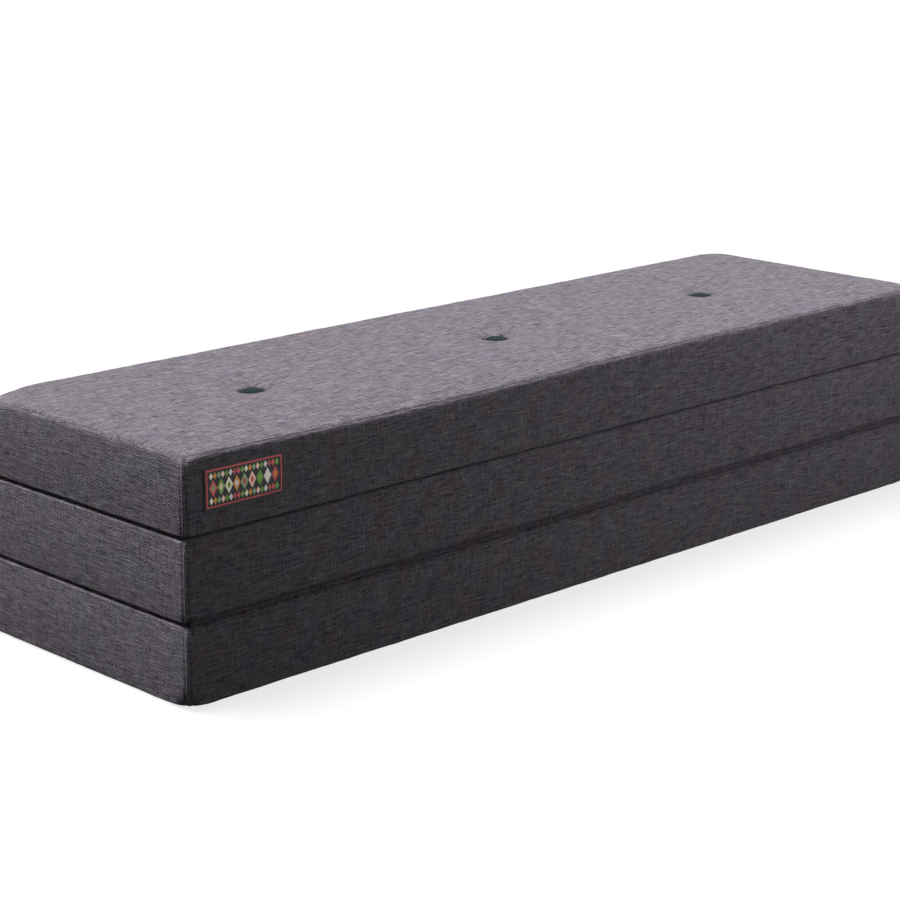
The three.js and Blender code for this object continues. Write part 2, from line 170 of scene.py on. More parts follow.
# The strip of cloth over a fold. Its rows are given in millimetres from the crease. It puffs up between
# its two seams, and lies on the lower panel below the crease and on the upper one above it.
# A painted shade darkens its colour most at the seams, standing for the shadow down in the crease, and fades
# out above and below them.
STRIP_HALF_LENGTH = 690 * MM
STRIP_ROWS = (0, 0.9, 1.7, 2.3, 2.7, 3.1, 3.5, 3.9, 4.4, 5.2, 7, 9.5)
STRIP_PROUD = 0.25 * MM
STRIP_PUFF = 2.4 * MM
STRIP_PUFF_HALF_HEIGHT = 2.9 * MM
STRIP_SEAM = 3.3 * MM
STRIP_PAINTED_SHADE_REACH = 10 * MM
STRIP_PAINTED_SHADE_FADE = 6.7 * MM

# The label's seam lies this far inside its edge, and its design keeps off its ends
LABEL_PROUD = 0.85 * MM
LABEL_THICKNESS = 0.55 * MM
LABEL_SEAM = 2.1 * MM
LABEL_FOLDED_END = 5 * MM
LABEL_FRAME_LINE, LABEL_FRAME_HALF_WIDTH = 3.9 * MM, 1.0 * MM
LABEL_MARGIN = 7.5 * MM
STITCH_PITCH = 3.4 * MM
STITCH_MARGIN = 3 * MM

# The lines that the sheets are drawn on: across the faces, and through the rounded corners
CORNER_ZONE = 48 * MM
CORNER_CROWDING = 0.3
TUFT_REACH = 32 * MM
LINING_STRIDE = 3
SIDE_HEIGHTS = (2.2 * MM, 4.4 * MM, OPENING_HALF_HEIGHT, 21 * MM, 35 * MM)
PAD_SIDE_HEIGHTS = (8 * MM, 22 * MM)

# Each piece shows its own stretch of the weave: sides and faces lie this far apart in it
SIDE_APART = 5
FACE_APART = 3.1


# Random but repeatable unevenness

LINE_KNOTS = 1024
PLANE_KNOTS = 128


def eased(share):
    """From 0 to 1 with a soft start and a soft end."""
    share = np.clip(share, 0, 1)
    return share * share * (3 - 2 * share)


def wander(along, spacing, seed):
    """Smooth heights from -1 to 1 along a line, with a new one every spacing."""
    knots = np.random.default_rng(seed).uniform(-1, 1, LINE_KNOTS)
    cell = np.floor(along / spacing).astype(int)
    share = eased(along / spacing - cell)
    return knots[cell % LINE_KNOTS] * (1 - share) + knots[(cell + 1) % LINE_KNOTS] * share


def drift(x, y, spacing, seed):
    """Smooth heights from -1 to 1 over a plane."""
    knots = np.random.default_rng(seed).uniform(-1, 1, (PLANE_KNOTS, PLANE_KNOTS))
    column, row = np.floor(x / spacing).astype(int), np.floor(y / spacing).astype(int)
    u, v = eased(x / spacing - column), eased(y / spacing - row)
    left, right = column % PLANE_KNOTS, (column + 1) % PLANE_KNOTS
    near, far = (knots[r % PLANE_KNOTS, left] * (1 - u) + knots[r % PLANE_KNOTS, right] * u
                 for r in (row, row + 1))
    return near * (1 - v) + far * v


def stacked(x, y, z):
    """Points from their x, y and z, each a number or a grid."""
    return np.stack(np.broadcast_arrays(x, y, z), axis=-1)


# The plan of the panels: lines across the faces, and rings round them that crowd at the corners

Plan = namedtuple("Plan", "x_lines y_lines corner_cells")


def grid_lines(half, tufts, spacing, tuft_spacing):
    """Lines from -half to half, in threes, closer together over the tufts."""
    marks, steps = [-half], []
    for place in tufts:
        marks += [place - TUFT_REACH, place + TUFT_REACH]
        steps += [spacing, tuft_spacing]
    marks.append(half)
    steps.append(spacing)
    lines = [marks[0]]
    for start, end, step in zip(marks, marks[1:], steps):
        cells = LINING_STRIDE * max(1, round((end - start) / step / LINING_STRIDE))
        lines += list(np.linspace(start, end, cells + 1)[1:])
    return np.array(lines)


def plan_of(spacing, tuft_spacing, corner_cells):
    return Plan(grid_lines(HALF_LENGTH - CORNER_ZONE, TUFTS, spacing, tuft_spacing),
                grid_lines(HALF_DEPTH - CORNER_ZONE, [0], spacing, tuft_spacing), corner_cells)


COVER_PLAN = plan_of(5 * MM, 2 * MM, 15)
PAD_PLAN = plan_of(13 * MM, 4.5 * MM, 6)


def round_corner(inset, radius, share):
    """The +X +Y corner of a level ring, from its +Y side to its +X side: where the points lie, the way
    out from there, how far they lie from the middle of the corner, and how far into it."""
    arc = radius * math.pi / 2
    half = CORNER_ZONE - inset - radius + arc / 2
    turn = 2 * share - 1
    along = half * (CORNER_CROWDING * turn + (1 - CORNER_CROWDING) * turn ** 3)
    on_arc = np.clip(along, -arc / 2, arc / 2)
    angle = math.pi / 4 - on_arc / np.maximum(radius, 1e-9)
    x = HALF_LENGTH - inset - radius + radius * np.cos(angle) + np.minimum(along - on_arc, 0)
    y = HALF_DEPTH - inset - radius + radius * np.sin(angle) - np.maximum(along - on_arc, 0)
    return x, y, angle, along, half - np.abs(along)


def ring(plan, inset, radius):
    """A level ring round the panel, once round from the front's near end: x, y, the distance to the
    middle of the nearest corner, the distance along its own side, and a number for that side, which is
    1 for the front, 3 for the back, 7 for the near end and 9 for the far one."""
    share = np.linspace(0, 1, 2 * plan.corner_cells + 1)[1:-1]
    cx, cy, _, away, into = round_corner(inset, radius, share)
    side_x, side_y = HALF_LENGTH - inset, HALF_DEPTH - inset

    def straight(x, y, along, side):
        return np.stack(np.broadcast_arrays(x, y, 1.0, along, float(side)))

    def corner(sx, sy, backwards):
        on_long_side = away <= 0
        along = np.where(on_long_side, sx * (plan.x_lines[-1] + into), sy * (plan.y_lines[-1] + into))
        side = np.where(on_long_side, 2 + sy, 8 + sx)
        points = np.stack([sx * cx, sy * cy, np.abs(away), along, side])
        return points[:, ::-1] if backwards else points

    x_lines, y_lines = plan.x_lines, plan.y_lines
    return np.hstack([
        straight(x_lines, -side_y, x_lines, 1), corner(1, -1, False),
        straight(side_x, y_lines, y_lines, 9), corner(1, 1, True),
        straight(x_lines[::-1], side_y, x_lines[::-1], 3), corner(-1, 1, False),
        straight(-side_x, y_lines[::-1], y_lines[::-1], 7), corner(-1, -1, True),
    ])


# The section of an edge, as distance in from the widest line and height above the panel's middle

def on_edge(edge, angle):
    """A point of the rounded edge: angle 0 is the face and 90 degrees the side."""
    inset = SIDE_BULGE + edge.radius * (1 - math.sin(angle))
    return np.array([inset, HALF_PANEL - edge.crown - edge.radius * (1 - math.cos(angle))])


def side_inset(edge, height):
    """How far in the side's surface lies at a height, up to the turn into the face."""
    start = HALF_PANEL - edge.crown - edge.radius
    past = np.clip(height - start, 0, edge.radius)
    turned_in = edge.radius - np.sqrt(edge.radius ** 2 - past ** 2)
    return SIDE_BULGE * np.minimum(height / start, 1) ** 2 + turned_in


def rolled_hem(edge, angle, onward):
    """The cloth rolling in to the seam, and its allowance. onward is 1 from the face and -1 from the side."""
    start = on_edge(edge, angle)
    tangent = onward * np.array([-math.cos(angle), -math.sin(angle)])
    inward = np.array([math.sin(angle), -math.cos(angle)])
    hem = [start + SEAM_ROLL * (math.sin(a) * tangent + (1 - math.cos(a)) * inward)
           for a in np.radians(HEM_TURNS)]
    return hem + [hem[-1] + SEAM_ALLOWANCE * inward]


def with_corner(points, edge):
    """Adds each ring's radius in plan: tight at mid height, rounder towards the face."""
    rings = []
    for inset, height in points:
        level = np.clip(height / (HALF_PANEL - edge.crown), 0, 1) ** CORNER_EASING
        grown = CORNER_RADIUS + (edge.corner - CORNER_RADIUS) * level
        rings.append((inset, height, min(grown, CORNER_ZONE - inset)))
    return rings


def crown_drop(edge, past_edge):
    """How far a face lies under its full height near its edge."""
    return edge.crown * np.clip(1 - past_edge / CROWN_REACH, 0, 1) ** 2


def face_section(plan, edge, hemmed):
    """Rings of a face from the corner zone out to its seam, or to the end of its hem."""
    turned = SEAM_TURN - hemmed * (SEAM_ROLL + SEAM_GAP / 2) / edge.radius
    hem = rolled_hem(edge, turned, 1) if hemmed else []
    arc_cells = 3 if hemmed else 2
    arc = [on_edge(edge, turned * (i + 1) / arc_cells) for i in range(arc_cells)]
    crown_cells = plan.corner_cells - len(hem) - arc_cells
    flat = SIDE_BULGE + edge.radius
    insets = CORNER_ZONE + (flat - CORNER_ZONE) * np.linspace(0, 1, crown_cells + 1)
    crown = [np.array([i, HALF_PANEL - crown_drop(edge, i - flat)]) for i in insets]
    return np.array(with_corner(crown + arc + hem, edge))


def side_section(edge, heights, hemmed):
    """Rings of the side from just above mid height up to its seam, or to the end of its hem."""
    turned = SEAM_TURN + hemmed * (SEAM_ROLL + SEAM_GAP / 2) / edge.radius
    side = [np.array([side_inset(edge, h), h]) for h in (*heights, HALF_PANEL - edge.crown - edge.radius)]
    arc = [on_edge(edge, math.pi / 2 + (turned - math.pi / 2) * share) for share in (1 / 2, 1)]
    hem = rolled_hem(edge, turned, -1) if hemmed else []
    return with_corner(side + arc + hem, edge)


# The forms of a face and of the side, as grids of points with the cloth's own coordinates

Form = namedtuple("Form", "points cloth from_seam corner_fade")


def face_form(plan, edge, hemmed):
    """A face that looks up, as rows of points."""
    section = face_section(plan, edge, hemmed)
    steps = np.hypot(*np.diff(section[:, :2], axis=0).T)
    from_zone = np.concatenate([[0], np.cumsum(steps)])
    cells = plan.corner_cells
    outward, end = np.arange(cells, 0, -1), np.ones(cells)
    kx = np.concatenate([outward, np.zeros(len(plan.x_lines), int), outward[::-1]])[None, :]
    ky = np.concatenate([outward, np.zeros(len(plan.y_lines), int), outward[::-1]])[:, None]
    line_x = np.concatenate([-HALF_LENGTH * end, plan.x_lines, HALF_LENGTH * end])[None, :]
    line_y = np.concatenate([-HALF_DEPTH * end, plan.y_lines, HALF_DEPTH * end])[:, None]
    k = np.maximum(kx, ky)
    inset, height, corner = (section[k, i] for i in range(3))
    share = np.where(ky == k, kx / np.maximum(2 * k, 1), 1 - ky / np.maximum(2 * k, 1))
    cx, cy, angle, _, _ = round_corner(inset, corner, share)
    in_corner = (kx > 0) & (ky > 0)
    x = np.sign(line_x) * np.where(in_corner, cx, np.where(kx > 0, HALF_LENGTH - inset, abs(line_x)))
    y = np.sign(line_y) * np.where(in_corner, cy, np.where(ky > 0, HALF_DEPTH - inset, abs(line_y)))
    past_edge = np.minimum(HALF_LENGTH - abs(x), HALF_DEPTH - abs(y)) - SIDE_BULGE - edge.radius
    z = np.where(k == 0, HALF_PANEL - crown_drop(edge, past_edge), height)

    unrolled = from_zone[k] - (CORNER_ZONE - inset)
    cloth_x = x + np.sign(line_x) * unrolled * np.where(in_corner, np.cos(angle), kx > 0)
    cloth_y = y + np.sign(line_y) * unrolled * np.where(in_corner, np.sin(angle), ky > 0)
    seam = from_zone[-1 - HEM_ROWS] if hemmed else from_zone[-1]
    fade = np.where(in_corner, eased(np.abs(2 * share - 1)), 1.0)
    return Form(stacked(x, y, z), stacked(cloth_x, cloth_y, 0), np.abs(seam - from_zone[k]), fade)


def side_form(plan, lower, upper, heights, hemmed):
    """The side, as rings of points from its lower seam or hem to its upper one."""
    below = [(inset, -z, corner) for inset, z, corner in reversed(side_section(lower, heights, hemmed))]
    rings = below + [(0, 0, CORNER_RADIUS)] + side_section(upper, heights, hemmed)
    section = np.array(rings)
    climb = np.concatenate([[0], np.cumsum(np.hypot(*np.diff(section[:, :2], axis=0).T))])
    climb -= climb[len(below)]
    points, cloth, corners = [], [], []
    for (inset, z, radius), height in zip(rings, climb):
        x, y, from_corner, along, side = ring(plan, inset, radius)
        points.append(stacked(x, y, z))
        cloth.append(stacked(along, height, SIDE_APART * side))
        corners.append(from_corner)
    crowns = np.where(section[:, 1] > 0, upper.crown, lower.crown)
    to_seam = (HALF_PANEL - abs(section[:, 1]) - crowns)[:, None]
    return Form(np.array(points), np.array(cloth), to_seam, np.array(corners))


def tuft_pull(x, y, floor, seed):
    """How far the tufts draw a face in: the dimples, and the creases that run out of them."""
    pull = np.zeros_like(x)
    for place in TUFTS:
        draw = np.random.default_rng([seed, round(abs(place) * 1e4) % 997, int(place > 0)])
        reach = np.hypot(x - place, y)
        angle = np.arctan2(y, x - place)
        outward = np.maximum(0, reach - floor)
        pull += DIMPLE_WALL * np.exp(-outward / WALL_SLOPE)
        pull += (DIMPLE_DEPTH - DIMPLE_WALL) * np.exp(-outward / DIMPLE_SLOPE)
        spread = draw.uniform(-CREASE_SPREAD, CREASE_SPREAD, TUFT_CREASES)
        for crease in np.arange(TUFT_CREASES) * math.tau / TUFT_CREASES + spread:
            off = (angle - crease + math.pi) % math.tau - math.pi
            width = CREASE_WIDTH + CREASE_WIDENING * outward
            length = draw.uniform(*CREASE_LENGTHS) * MM
            fold = np.exp(-(off * reach / width) ** 2) * np.exp(-outward / length)
            # They are nearly lost towards the front
            fold *= 1 - 0.85 * np.exp(-((y + reach) / (0.35 * reach + MM)) ** 2)
            pull += draw.uniform(*CREASE_DEPTHS) * MM * fold * eased(outward / (3 * MM))
        # The cloth puffs up along the front of each button, where it is gathered most
        aside, ahead = (x - place) / (12 * MM), (y + floor + 5 * MM) / (5 * MM)
        pull -= FRONT_PUFF * np.exp(-aside ** 2 - ahead ** 2)
    return pull


def seam_puckers(x, y, seed):
    """The cloth gathered a little by the stitches, the same on both sides of a seam. Each side of the
    panel takes its own stretch of the same random line."""
    lengthways = HALF_DEPTH - np.abs(y) < HALF_LENGTH - np.abs(x)
    place = np.where(lengthways, x + np.sign(y) * 2.6, y + 7 + np.sign(x) * 2.6)
    short, long = PUCKER_SPACINGS
    return MM * (PUCKER * wander(place, short, seed) + PUCKER * wander(place, long, seed + 5))


def corner_seam(from_corner, to_seam):
    """The upright seam down each corner: a ridge over the allowance with a furrow on either side."""
    ridge = CORNER_RIDGE * np.exp(-(from_corner / CORNER_RIDGE_WIDTH) ** 2)
    furrow = CORNER_FURROW * np.exp(-((from_corner - CORNER_FURROW_AWAY) / CORNER_FURROW_WIDTH) ** 2)
    return MM * (ridge - furrow) * eased(to_seam / (5 * MM))


def settled(points):
    """Lets the top panel's front top edge and its back near corner hang. Points are taken from the
    panel's middle."""
    x, y, z = points[..., 0], points[..., 1], points[..., 2]
    hang = EDGE_SAG * np.exp(-((x - SAG_PLACE) / SAG_HALF_WIDTH) ** 2)
    hang *= eased((SAG_DEPTH - HALF_DEPTH - y) / SAG_DEPTH)
    hang += CORNER_SAG * (1 - eased(np.hypot(x + HALF_LENGTH, y - HALF_DEPTH) / CORNER_SAG_REACH))
    return points - stacked(0, 0, hang * eased(z / HALF_PANEL))


def drawn_to_folds(points, panel):
    """Draws a panel's long sides in beside its folds. Points are taken from the panel's middle."""
    x, y, z = points[..., 0], points[..., 1], points[..., 2]
    inward = np.zeros_like(x)
    for face, side in FOLDED_EDGES[panel]:
        near_side = eased((side * y - HALF_DEPTH + FOLD_DRAW_REACH) / FOLD_DRAW_EASING)
        to_end = eased((HALF_LENGTH - np.abs(x)) / FOLD_DRAW_END)
        near_fold = np.interp(HALF_PANEL - face * z, FOLD_DRAW_UP, FOLD_DRAW_SHARE)
        inward += side * FOLD_DRAW * near_side * to_end * near_fold
    return points - stacked(0, inward, 0)


# Meshes

def normals_of(grid, around=False):
    """Outward normals of a grid whose rows run along +X, or once round the panel."""
    if around:
        along = np.roll(grid, -1, axis=1) - np.roll(grid, 1, axis=1)
    else:
        along = np.gradient(grid, axis=1)
    normal = np.cross(along, np.gradient(grid, axis=0))
    return normal / np.maximum(np.linalg.norm(normal, axis=-1, keepdims=True), 1e-12)


def quads(numbers):
    """The faces between a grid of point numbers."""
    corners = [numbers[:-1, :-1], numbers[:-1, 1:], numbers[1:, 1:], numbers[1:, :-1]]
    return np.stack(corners, axis=-1).reshape(-1, 4)


def cloth_shell(grid, cloth, thickness, around=False, cut_out=None):
    """A closed sheet of cloth: the fine skin, a coarser lining under it, and rims that join them all
    round and round what is cut out of it, which is given as rows and columns of the lining."""
    step = LINING_STRIDE
    lined = grid - np.broadcast_to(thickness, grid.shape[:2])[..., None] * normals_of(grid, around)
    skin = np.arange(grid.shape[0] * grid.shape[1]).reshape(grid.shape[:2])
    lining_points = lined[::step, ::step]
    lining = skin.size + np.arange(lining_points.size // 3).reshape(lining_points.shape[:2])
    if around:
        skin, lining = np.hstack([skin, skin[:, :1]]), np.hstack([lining, lining[:, :1]])
    kept = np.ones((lining.shape[0] - 1, lining.shape[1] - 1), bool)
    if cut_out:
        kept[cut_out] = False
    kept_fine = np.repeat(np.repeat(kept, step, axis=0), step, axis=1)
    faces = quads(skin)[kept_fine.ravel()].tolist() + quads(lining)[kept.ravel(), ::-1].tolist()

    beside = np.pad(kept, 1)
    if around:
        beside[1:-1, 0], beside[1:-1, -1] = kept[:, -1], kept[:, 0]
    for row, column in np.argwhere(kept):
        r, c = step * row, step * column
        sides = [
            (beside[row, column + 1], skin[r, c:c + step + 1], lining[row, column:column + 2]),
            (beside[row + 1, column + 2], skin[r:r + step + 1, c + step], lining[row:row + 2, column + 1]),
            (beside[row + 2, column + 1], skin[r + step, c:c + step + 1][::-1],
             lining[row + 1, column:column + 2][::-1]),
            (beside[row + 1, column], skin[r:r + step + 1, c][::-1], lining[row:row + 2, column][::-1]),
        ]
        for joined, (a, b, e, d), (start, end) in sides:
            if not joined:
                faces += [(b, a, start), (e, b, start, end), (d, e, end)]
    points = np.concatenate([grid.reshape(-1, 3), lining_points.reshape(-1, 3)])
    places = np.concatenate([cloth.reshape(-1, 3), cloth[::step, ::step].reshape(-1, 3)])
    return points, faces, places


def tube(path, radius, sides, upright):
    """Points and faces of a thread along a path, closed at its ends. upright is a direction that it
    never runs in."""
    path = np.asarray(path, float)
    forward = np.gradient(path, axis=0)
    forward /= np.linalg.norm(forward, axis=1, keepdims=True)
    up = upright - forward * (forward @ upright)[:, None]
    up /= np.linalg.norm(up, axis=1, keepdims=True)
    aside = np.cross(up, forward)
    angle = np.arange(sides) * math.tau / sides
    around = np.cos(angle)[None, :, None] * aside[:, None] + np.sin(angle)[None, :, None] * up[:, None]
    points = (path[:, None] + radius * around).reshape(-1, 3)
    numbers = np.arange(len(points)).reshape(len(path), sides)
    faces = quads(np.hstack([numbers, numbers[:, :1]])).tolist()
    faces += [tuple(numbers[0][::-1]), tuple(numbers[-1])]
    return points, faces


def joined(parts):
    """Several lots of points and faces as one."""
    points, faces, count = [], [], 0
    for part_points, part_faces in parts:
        points.append(part_points)
        faces += [tuple(int(i) + count for i in face) for face in part_faces]
        count += len(part_points)
    return np.concatenate(points), faces


def mesh_piece(name, points, faces, material, cloth=None):
    """A smooth mesh object. cloth gives the cloth's own coordinates at each point, in metres."""
    mesh = bpy.data.meshes.new(name)
    mesh.from_pydata(np.asarray(points).tolist(), [], [tuple(face) for face in faces])
    if cloth is not None:
        places = mesh.attributes.new("cloth", "FLOAT_VECTOR", "POINT")
        places.data.foreach_set("vector", cloth.astype(np.float32).ravel())
    mesh.polygons.foreach_set("use_smooth", [True] * len(mesh.polygons))
    mesh.materials.append(material)
    mesh.update()
    piece = bpy.data.objects.new(name, mesh)
    bpy.context.scene.collection.objects.link(piece)
    return piece


# Finishes

MATH = "ShaderNodeMath"
VECTOR_MATH = "ShaderNodeVectorMath"
NOISE = "ShaderNodeTexNoise"
WAVE = "ShaderNodeTexWave"
RAMP = "ShaderNodeValToRGB"
MIX = "ShaderNodeMix"

# A wave texture's scale times the distance between its bands
WAVE_LENGTH = 0.32


def srgb(colour):
    """A #rrggbb colour as the linear one that a shader takes."""
    values = [int(colour[i:i + 2], 16) / 255 for i in (1, 3, 5)]
    return [v / 12.92 if v <= 0.04045 else ((v + 0.055) / 1.055) ** 2.4 for v in values] + [1]


def add(tree, kind, inputs=None, output=0, stops=(), **settings):
    """A node with its settings, the stops of its ramp, and its inputs set or linked. Gives one of its
    outputs, or the node itself where output is None."""
    made = tree.nodes.new(kind)
    for name, value in settings.items():
        setattr(made, name, value)
    for i, (place, colour) in enumerate(stops):
        ramp = made.color_ramp
        stop = ramp.elements[i] if i < 2 else ramp.elements.new(place)
        stop.position, stop.color = place, srgb(colour)
    for name, value in (inputs or {}).items():
        if isinstance(value, bpy.types.NodeSocket):
            tree.links.new(value, made.inputs[name])
        else:
            made.inputs[name].default_value = value
    return made if output is None else made.outputs[output]


def new_material(name):
    """An empty material and its node tree."""
    material = bpy.data.materials.new(name)
    material.use_nodes = True
    material.node_tree.nodes.clear()
    return material, material.node_tree


def finish_material(tree, inputs):
    """Gives a material its surface."""
    shader = add(tree, "ShaderNodeBsdfPrincipled", inputs)
    add(tree, "ShaderNodeOutputMaterial", {"Surface": shader}, output=None)


def patterned_material(name, pattern, scale, stops, finish, relief=None, inputs=None, **settings):
    """A material with one fine pattern, which tints the surface and also raises it where relief gives
    the bump's strength and height."""
    material, tree = new_material(name)
    place = add(tree, "ShaderNodeTexCoord", output="Object")
    drawn = add(tree, pattern, {"Vector": place, "Scale": scale, **(inputs or {})}, **settings)
    surface = {"Base Color": add(tree, RAMP, {"Fac": drawn}, stops=stops), **finish}
    if relief:
        strength, height = relief
        surface["Normal"] = add(tree, "ShaderNodeBump", {"Height": drawn, "Strength": strength,
                                                         "Distance": height})
    finish_material(tree, surface)
    return material


def melange_cloth():
    """Polyester melange in plain weave. Slubby yarns of mauve, blue-grey and charcoal cross each other,
    so short light and dark dashes run both ways, and the hairy yarn stays matt."""
    material, tree = new_material("melange_cloth")
    cloth = add(tree, "ShaderNodeAttribute", output="Vector", attribute_name="cloth")
    # Yarns lie 0.9 mm apart in the real cloth. They are drawn 2.2 mm apart, or they wouldn't show.
    yarn = 1 / (2.2 * MM)
    bends = add(tree, NOISE, {"Vector": cloth, "Scale": 1 / (13 * MM), "Detail": 1.0}, output="Color")
    bent = add(tree, VECTOR_MATH, {0: bends, 1: (1, 1, 0), 2: (-0.5, -0.5, 0)}, operation="MULTIPLY_ADD")
    place = add(tree, VECTOR_MATH, {0: cloth, 1: (yarn, yarn, 1), 2: bent}, operation="MULTIPLY_ADD")
    split = add(tree, "ShaderNodeSeparateXYZ", {0: place}, output=None)
    u, v, piece_apart = split.outputs
    column = add(tree, MATH, {0: u}, operation="FLOOR")
    row = add(tree, MATH, {0: v}, operation="FLOOR")

    # Each yarn keeps its own shade, which changes slowly along it
    tones = []
    for across, along, stretch in ((column, v, (3.7, 0.15, 1)), (u, row, (0.15, 3.7, 1))):
        on_yarn = add(tree, "ShaderNodeCombineXYZ", {"X": across, "Y": along, "Z": piece_apart})
        stretched = add(tree, VECTOR_MATH, {0: on_yarn, 1: stretch}, operation="MULTIPLY")
        tones.append(add(tree, NOISE, {"Vector": stretched, "Scale": 1, "Detail": 1.5, "Roughness": 0.65}))
    counted = add(tree, MATH, {0: column, 1: row}, operation="ADD")
    weft_over = add(tree, MATH, {0: counted, 1: 2}, operation="FLOORED_MODULO")
    tone = add(tree, MIX, {"Factor": weft_over, "A": tones[0], "B": tones[1]})

    # Slubs: thicker lengths of yarn, about 3 mm wide and 30 mm long
    for width, height, share in ((3.0, 30, 0.18), (30, 3.0, 0.38)):
        stretch = (1 / (width * MM), 1 / (height * MM), 1)
        stretched = add(tree, VECTOR_MATH, {0: cloth, 1: stretch}, operation="MULTIPLY")
        slub = add(tree, NOISE, {"Vector": stretched, "Scale": 1, "Detail": 2, "Roughness": 0.6})
        tone = add(tree, MIX, {"Factor": share, "A": tone, "B": slub})
    shade = add(tree, RAMP, {"Fac": tone}, stops=[
        (0.36, "#58525b"), (0.43, "#7b747e"), (0.50, "#958e98"), (0.57, "#a8a0aa"), (0.64, "#c3bdc4")])

    # The dyed fibres aren't blended evenly, so the hue drifts a little between blue and mauve
    patches = add(tree, NOISE, {"Vector": cloth, "Scale": 1 / (42 * MM), "Detail": 1.5})
    hue = add(tree, RAMP, {"Fac": patches}, stops=[(0.36, "#fafdff"), (0.5, "#ffffff"), (0.64, "#fffafa")])
    colour = add(tree, MIX, {"Factor": 1, "A": shade, "B": hue}, output="Result", data_type="RGBA",
                 blend_type="MULTIPLY")
    # Painted shade: the crease attribute darkens the colour, standing for the shadow down in a fold's crease
    crease = add(tree, "ShaderNodeAttribute", output="Fac", attribute_name="crease")
    colour = add(tree, MIX, {"Factor": crease, "A": colour, "B": srgb("#b9b6b9")}, output="Result",
                 data_type="RGBA", blend_type="MULTIPLY")

    # Each crossing is a small dome between two grooves
    domes = []
    for along in (u, v):
        half_turns = add(tree, MATH, {0: along, 1: math.pi}, operation="MULTIPLY")
        wave = add(tree, MATH, {0: half_turns}, operation="SINE")
        domes.append(add(tree, MATH, {0: wave}, operation="ABSOLUTE"))
    dome = add(tree, MATH, {0: domes[0], 1: domes[1]}, operation="MULTIPLY")
    height = add(tree, MATH, {0: tone, 1: 3.2, 2: dome}, operation="MULTIPLY_ADD")
    bump = add(tree, "ShaderNodeBump", {"Height": height, "Strength": 1, "Distance": 0.8 * MM})
    finish_material(tree, {"Base Color": colour, "Roughness": 0.93, "Specular IOR Level": 0.25,
                           "Normal": bump})
    return material


def button_cloth():
    """A finer petrol weave drawn tight over a button mould: dark, with a faint sheen on the thread."""
    return patterned_material(
        "petrol_button_cloth", NOISE, 1 / (1.1 * MM),
        stops=[(0.3, "#101c1c"), (0.52, "#1d2f2f"), (0.75, "#324a4a")], relief=(0.5, 0.4 * MM),
        finish={"Roughness": 0.85, "Specular IOR Level": 0.15, "Sheen Weight": 0.04}, inputs={"Detail": 2})


def cut_foam():
    """Slabstock polyurethane foam cut by a saw: cream, with open cells that catch the light. Cells are
    0.6 mm across in the real foam and are drawn 1.8 mm across, or they wouldn't show."""
    return patterned_material(
        "cut_foam", "ShaderNodeTexVoronoi", 1 / (1.8 * MM),
        stops=[(0.0, "#b9ad8b"), (0.35, "#e3dac0"), (0.8, "#f0ead6")], relief=(0.6, 0.6 * MM),
        finish={"Roughness": 0.95})


def tuft_twine():
    """Waxed polyester twine laid from three strands, which show as slanting ribs 1.9 mm apart."""
    return patterned_material(
        "waxed_twine", WAVE, WAVE_LENGTH / (1.92 * MM),
        stops=[(0.1, "#9a917f"), (0.6, "#d6cfbe")], relief=(0.7, 0.3 * MM),
        finish={"Roughness": 0.6}, inputs={"Distortion": 0.4}, bands_direction="DIAGONAL")


def woven_zip_tape():
    """Black-brown polyester zip tape: a close weave with ribs along it, which stays dull. Ribs are
    0.5 mm apart in the real tape and are drawn 1.2 mm apart, or they wouldn't show."""
    return patterned_material(
        "woven_zip_tape", WAVE, WAVE_LENGTH / (1.2 * MM),
        stops=[(0.15, "#1f1d21"), (0.7, "#39353b")], relief=(0.6, 0.3 * MM), finish={"Roughness": 0.88},
        inputs={"Distortion": 0.6, "Detail": 2, "Detail Scale": 3}, bands_direction="Z")


def nylon_coil():
    """Dyed nylon monofilament wound into the zip's coils: dark, with small bright highlights."""
    return patterned_material(
        "nylon_coil", NOISE, 1 / (4 * MM), stops=[(0.3, "#242126"), (0.7, "#353138")],
        finish={"Roughness": 0.38, "IOR": 1.53}, inputs={"Detail": 1})


def plated_zinc():
    """Zinc die casting, tumbled and nickel plated: bright grey, with fine scuffs that blur it."""
    material, tree = new_material("plated_zinc")
    place = add(tree, "ShaderNodeTexCoord", output="Object")
    scuffs = add(tree, NOISE, {"Vector": place, "Scale": 1 / (0.8 * MM), "Detail": 4, "Roughness": 0.7})
    colour = add(tree, RAMP, {"Fac": scuffs}, stops=[(0.3, "#8e9092"), (0.7, "#b2b4b6")])
    rough = add(tree, "ShaderNodeMapRange", {"Value": scuffs, "To Min": 0.24, "To Max": 0.46})
    bump = add(tree, "ShaderNodeBump", {"Height": scuffs, "Strength": 0.15, "Distance": 0.1 * MM})
    finish_material(tree, {"Base Color": colour, "Roughness": rough, "Metallic": 1, "Normal": bump})
    return material


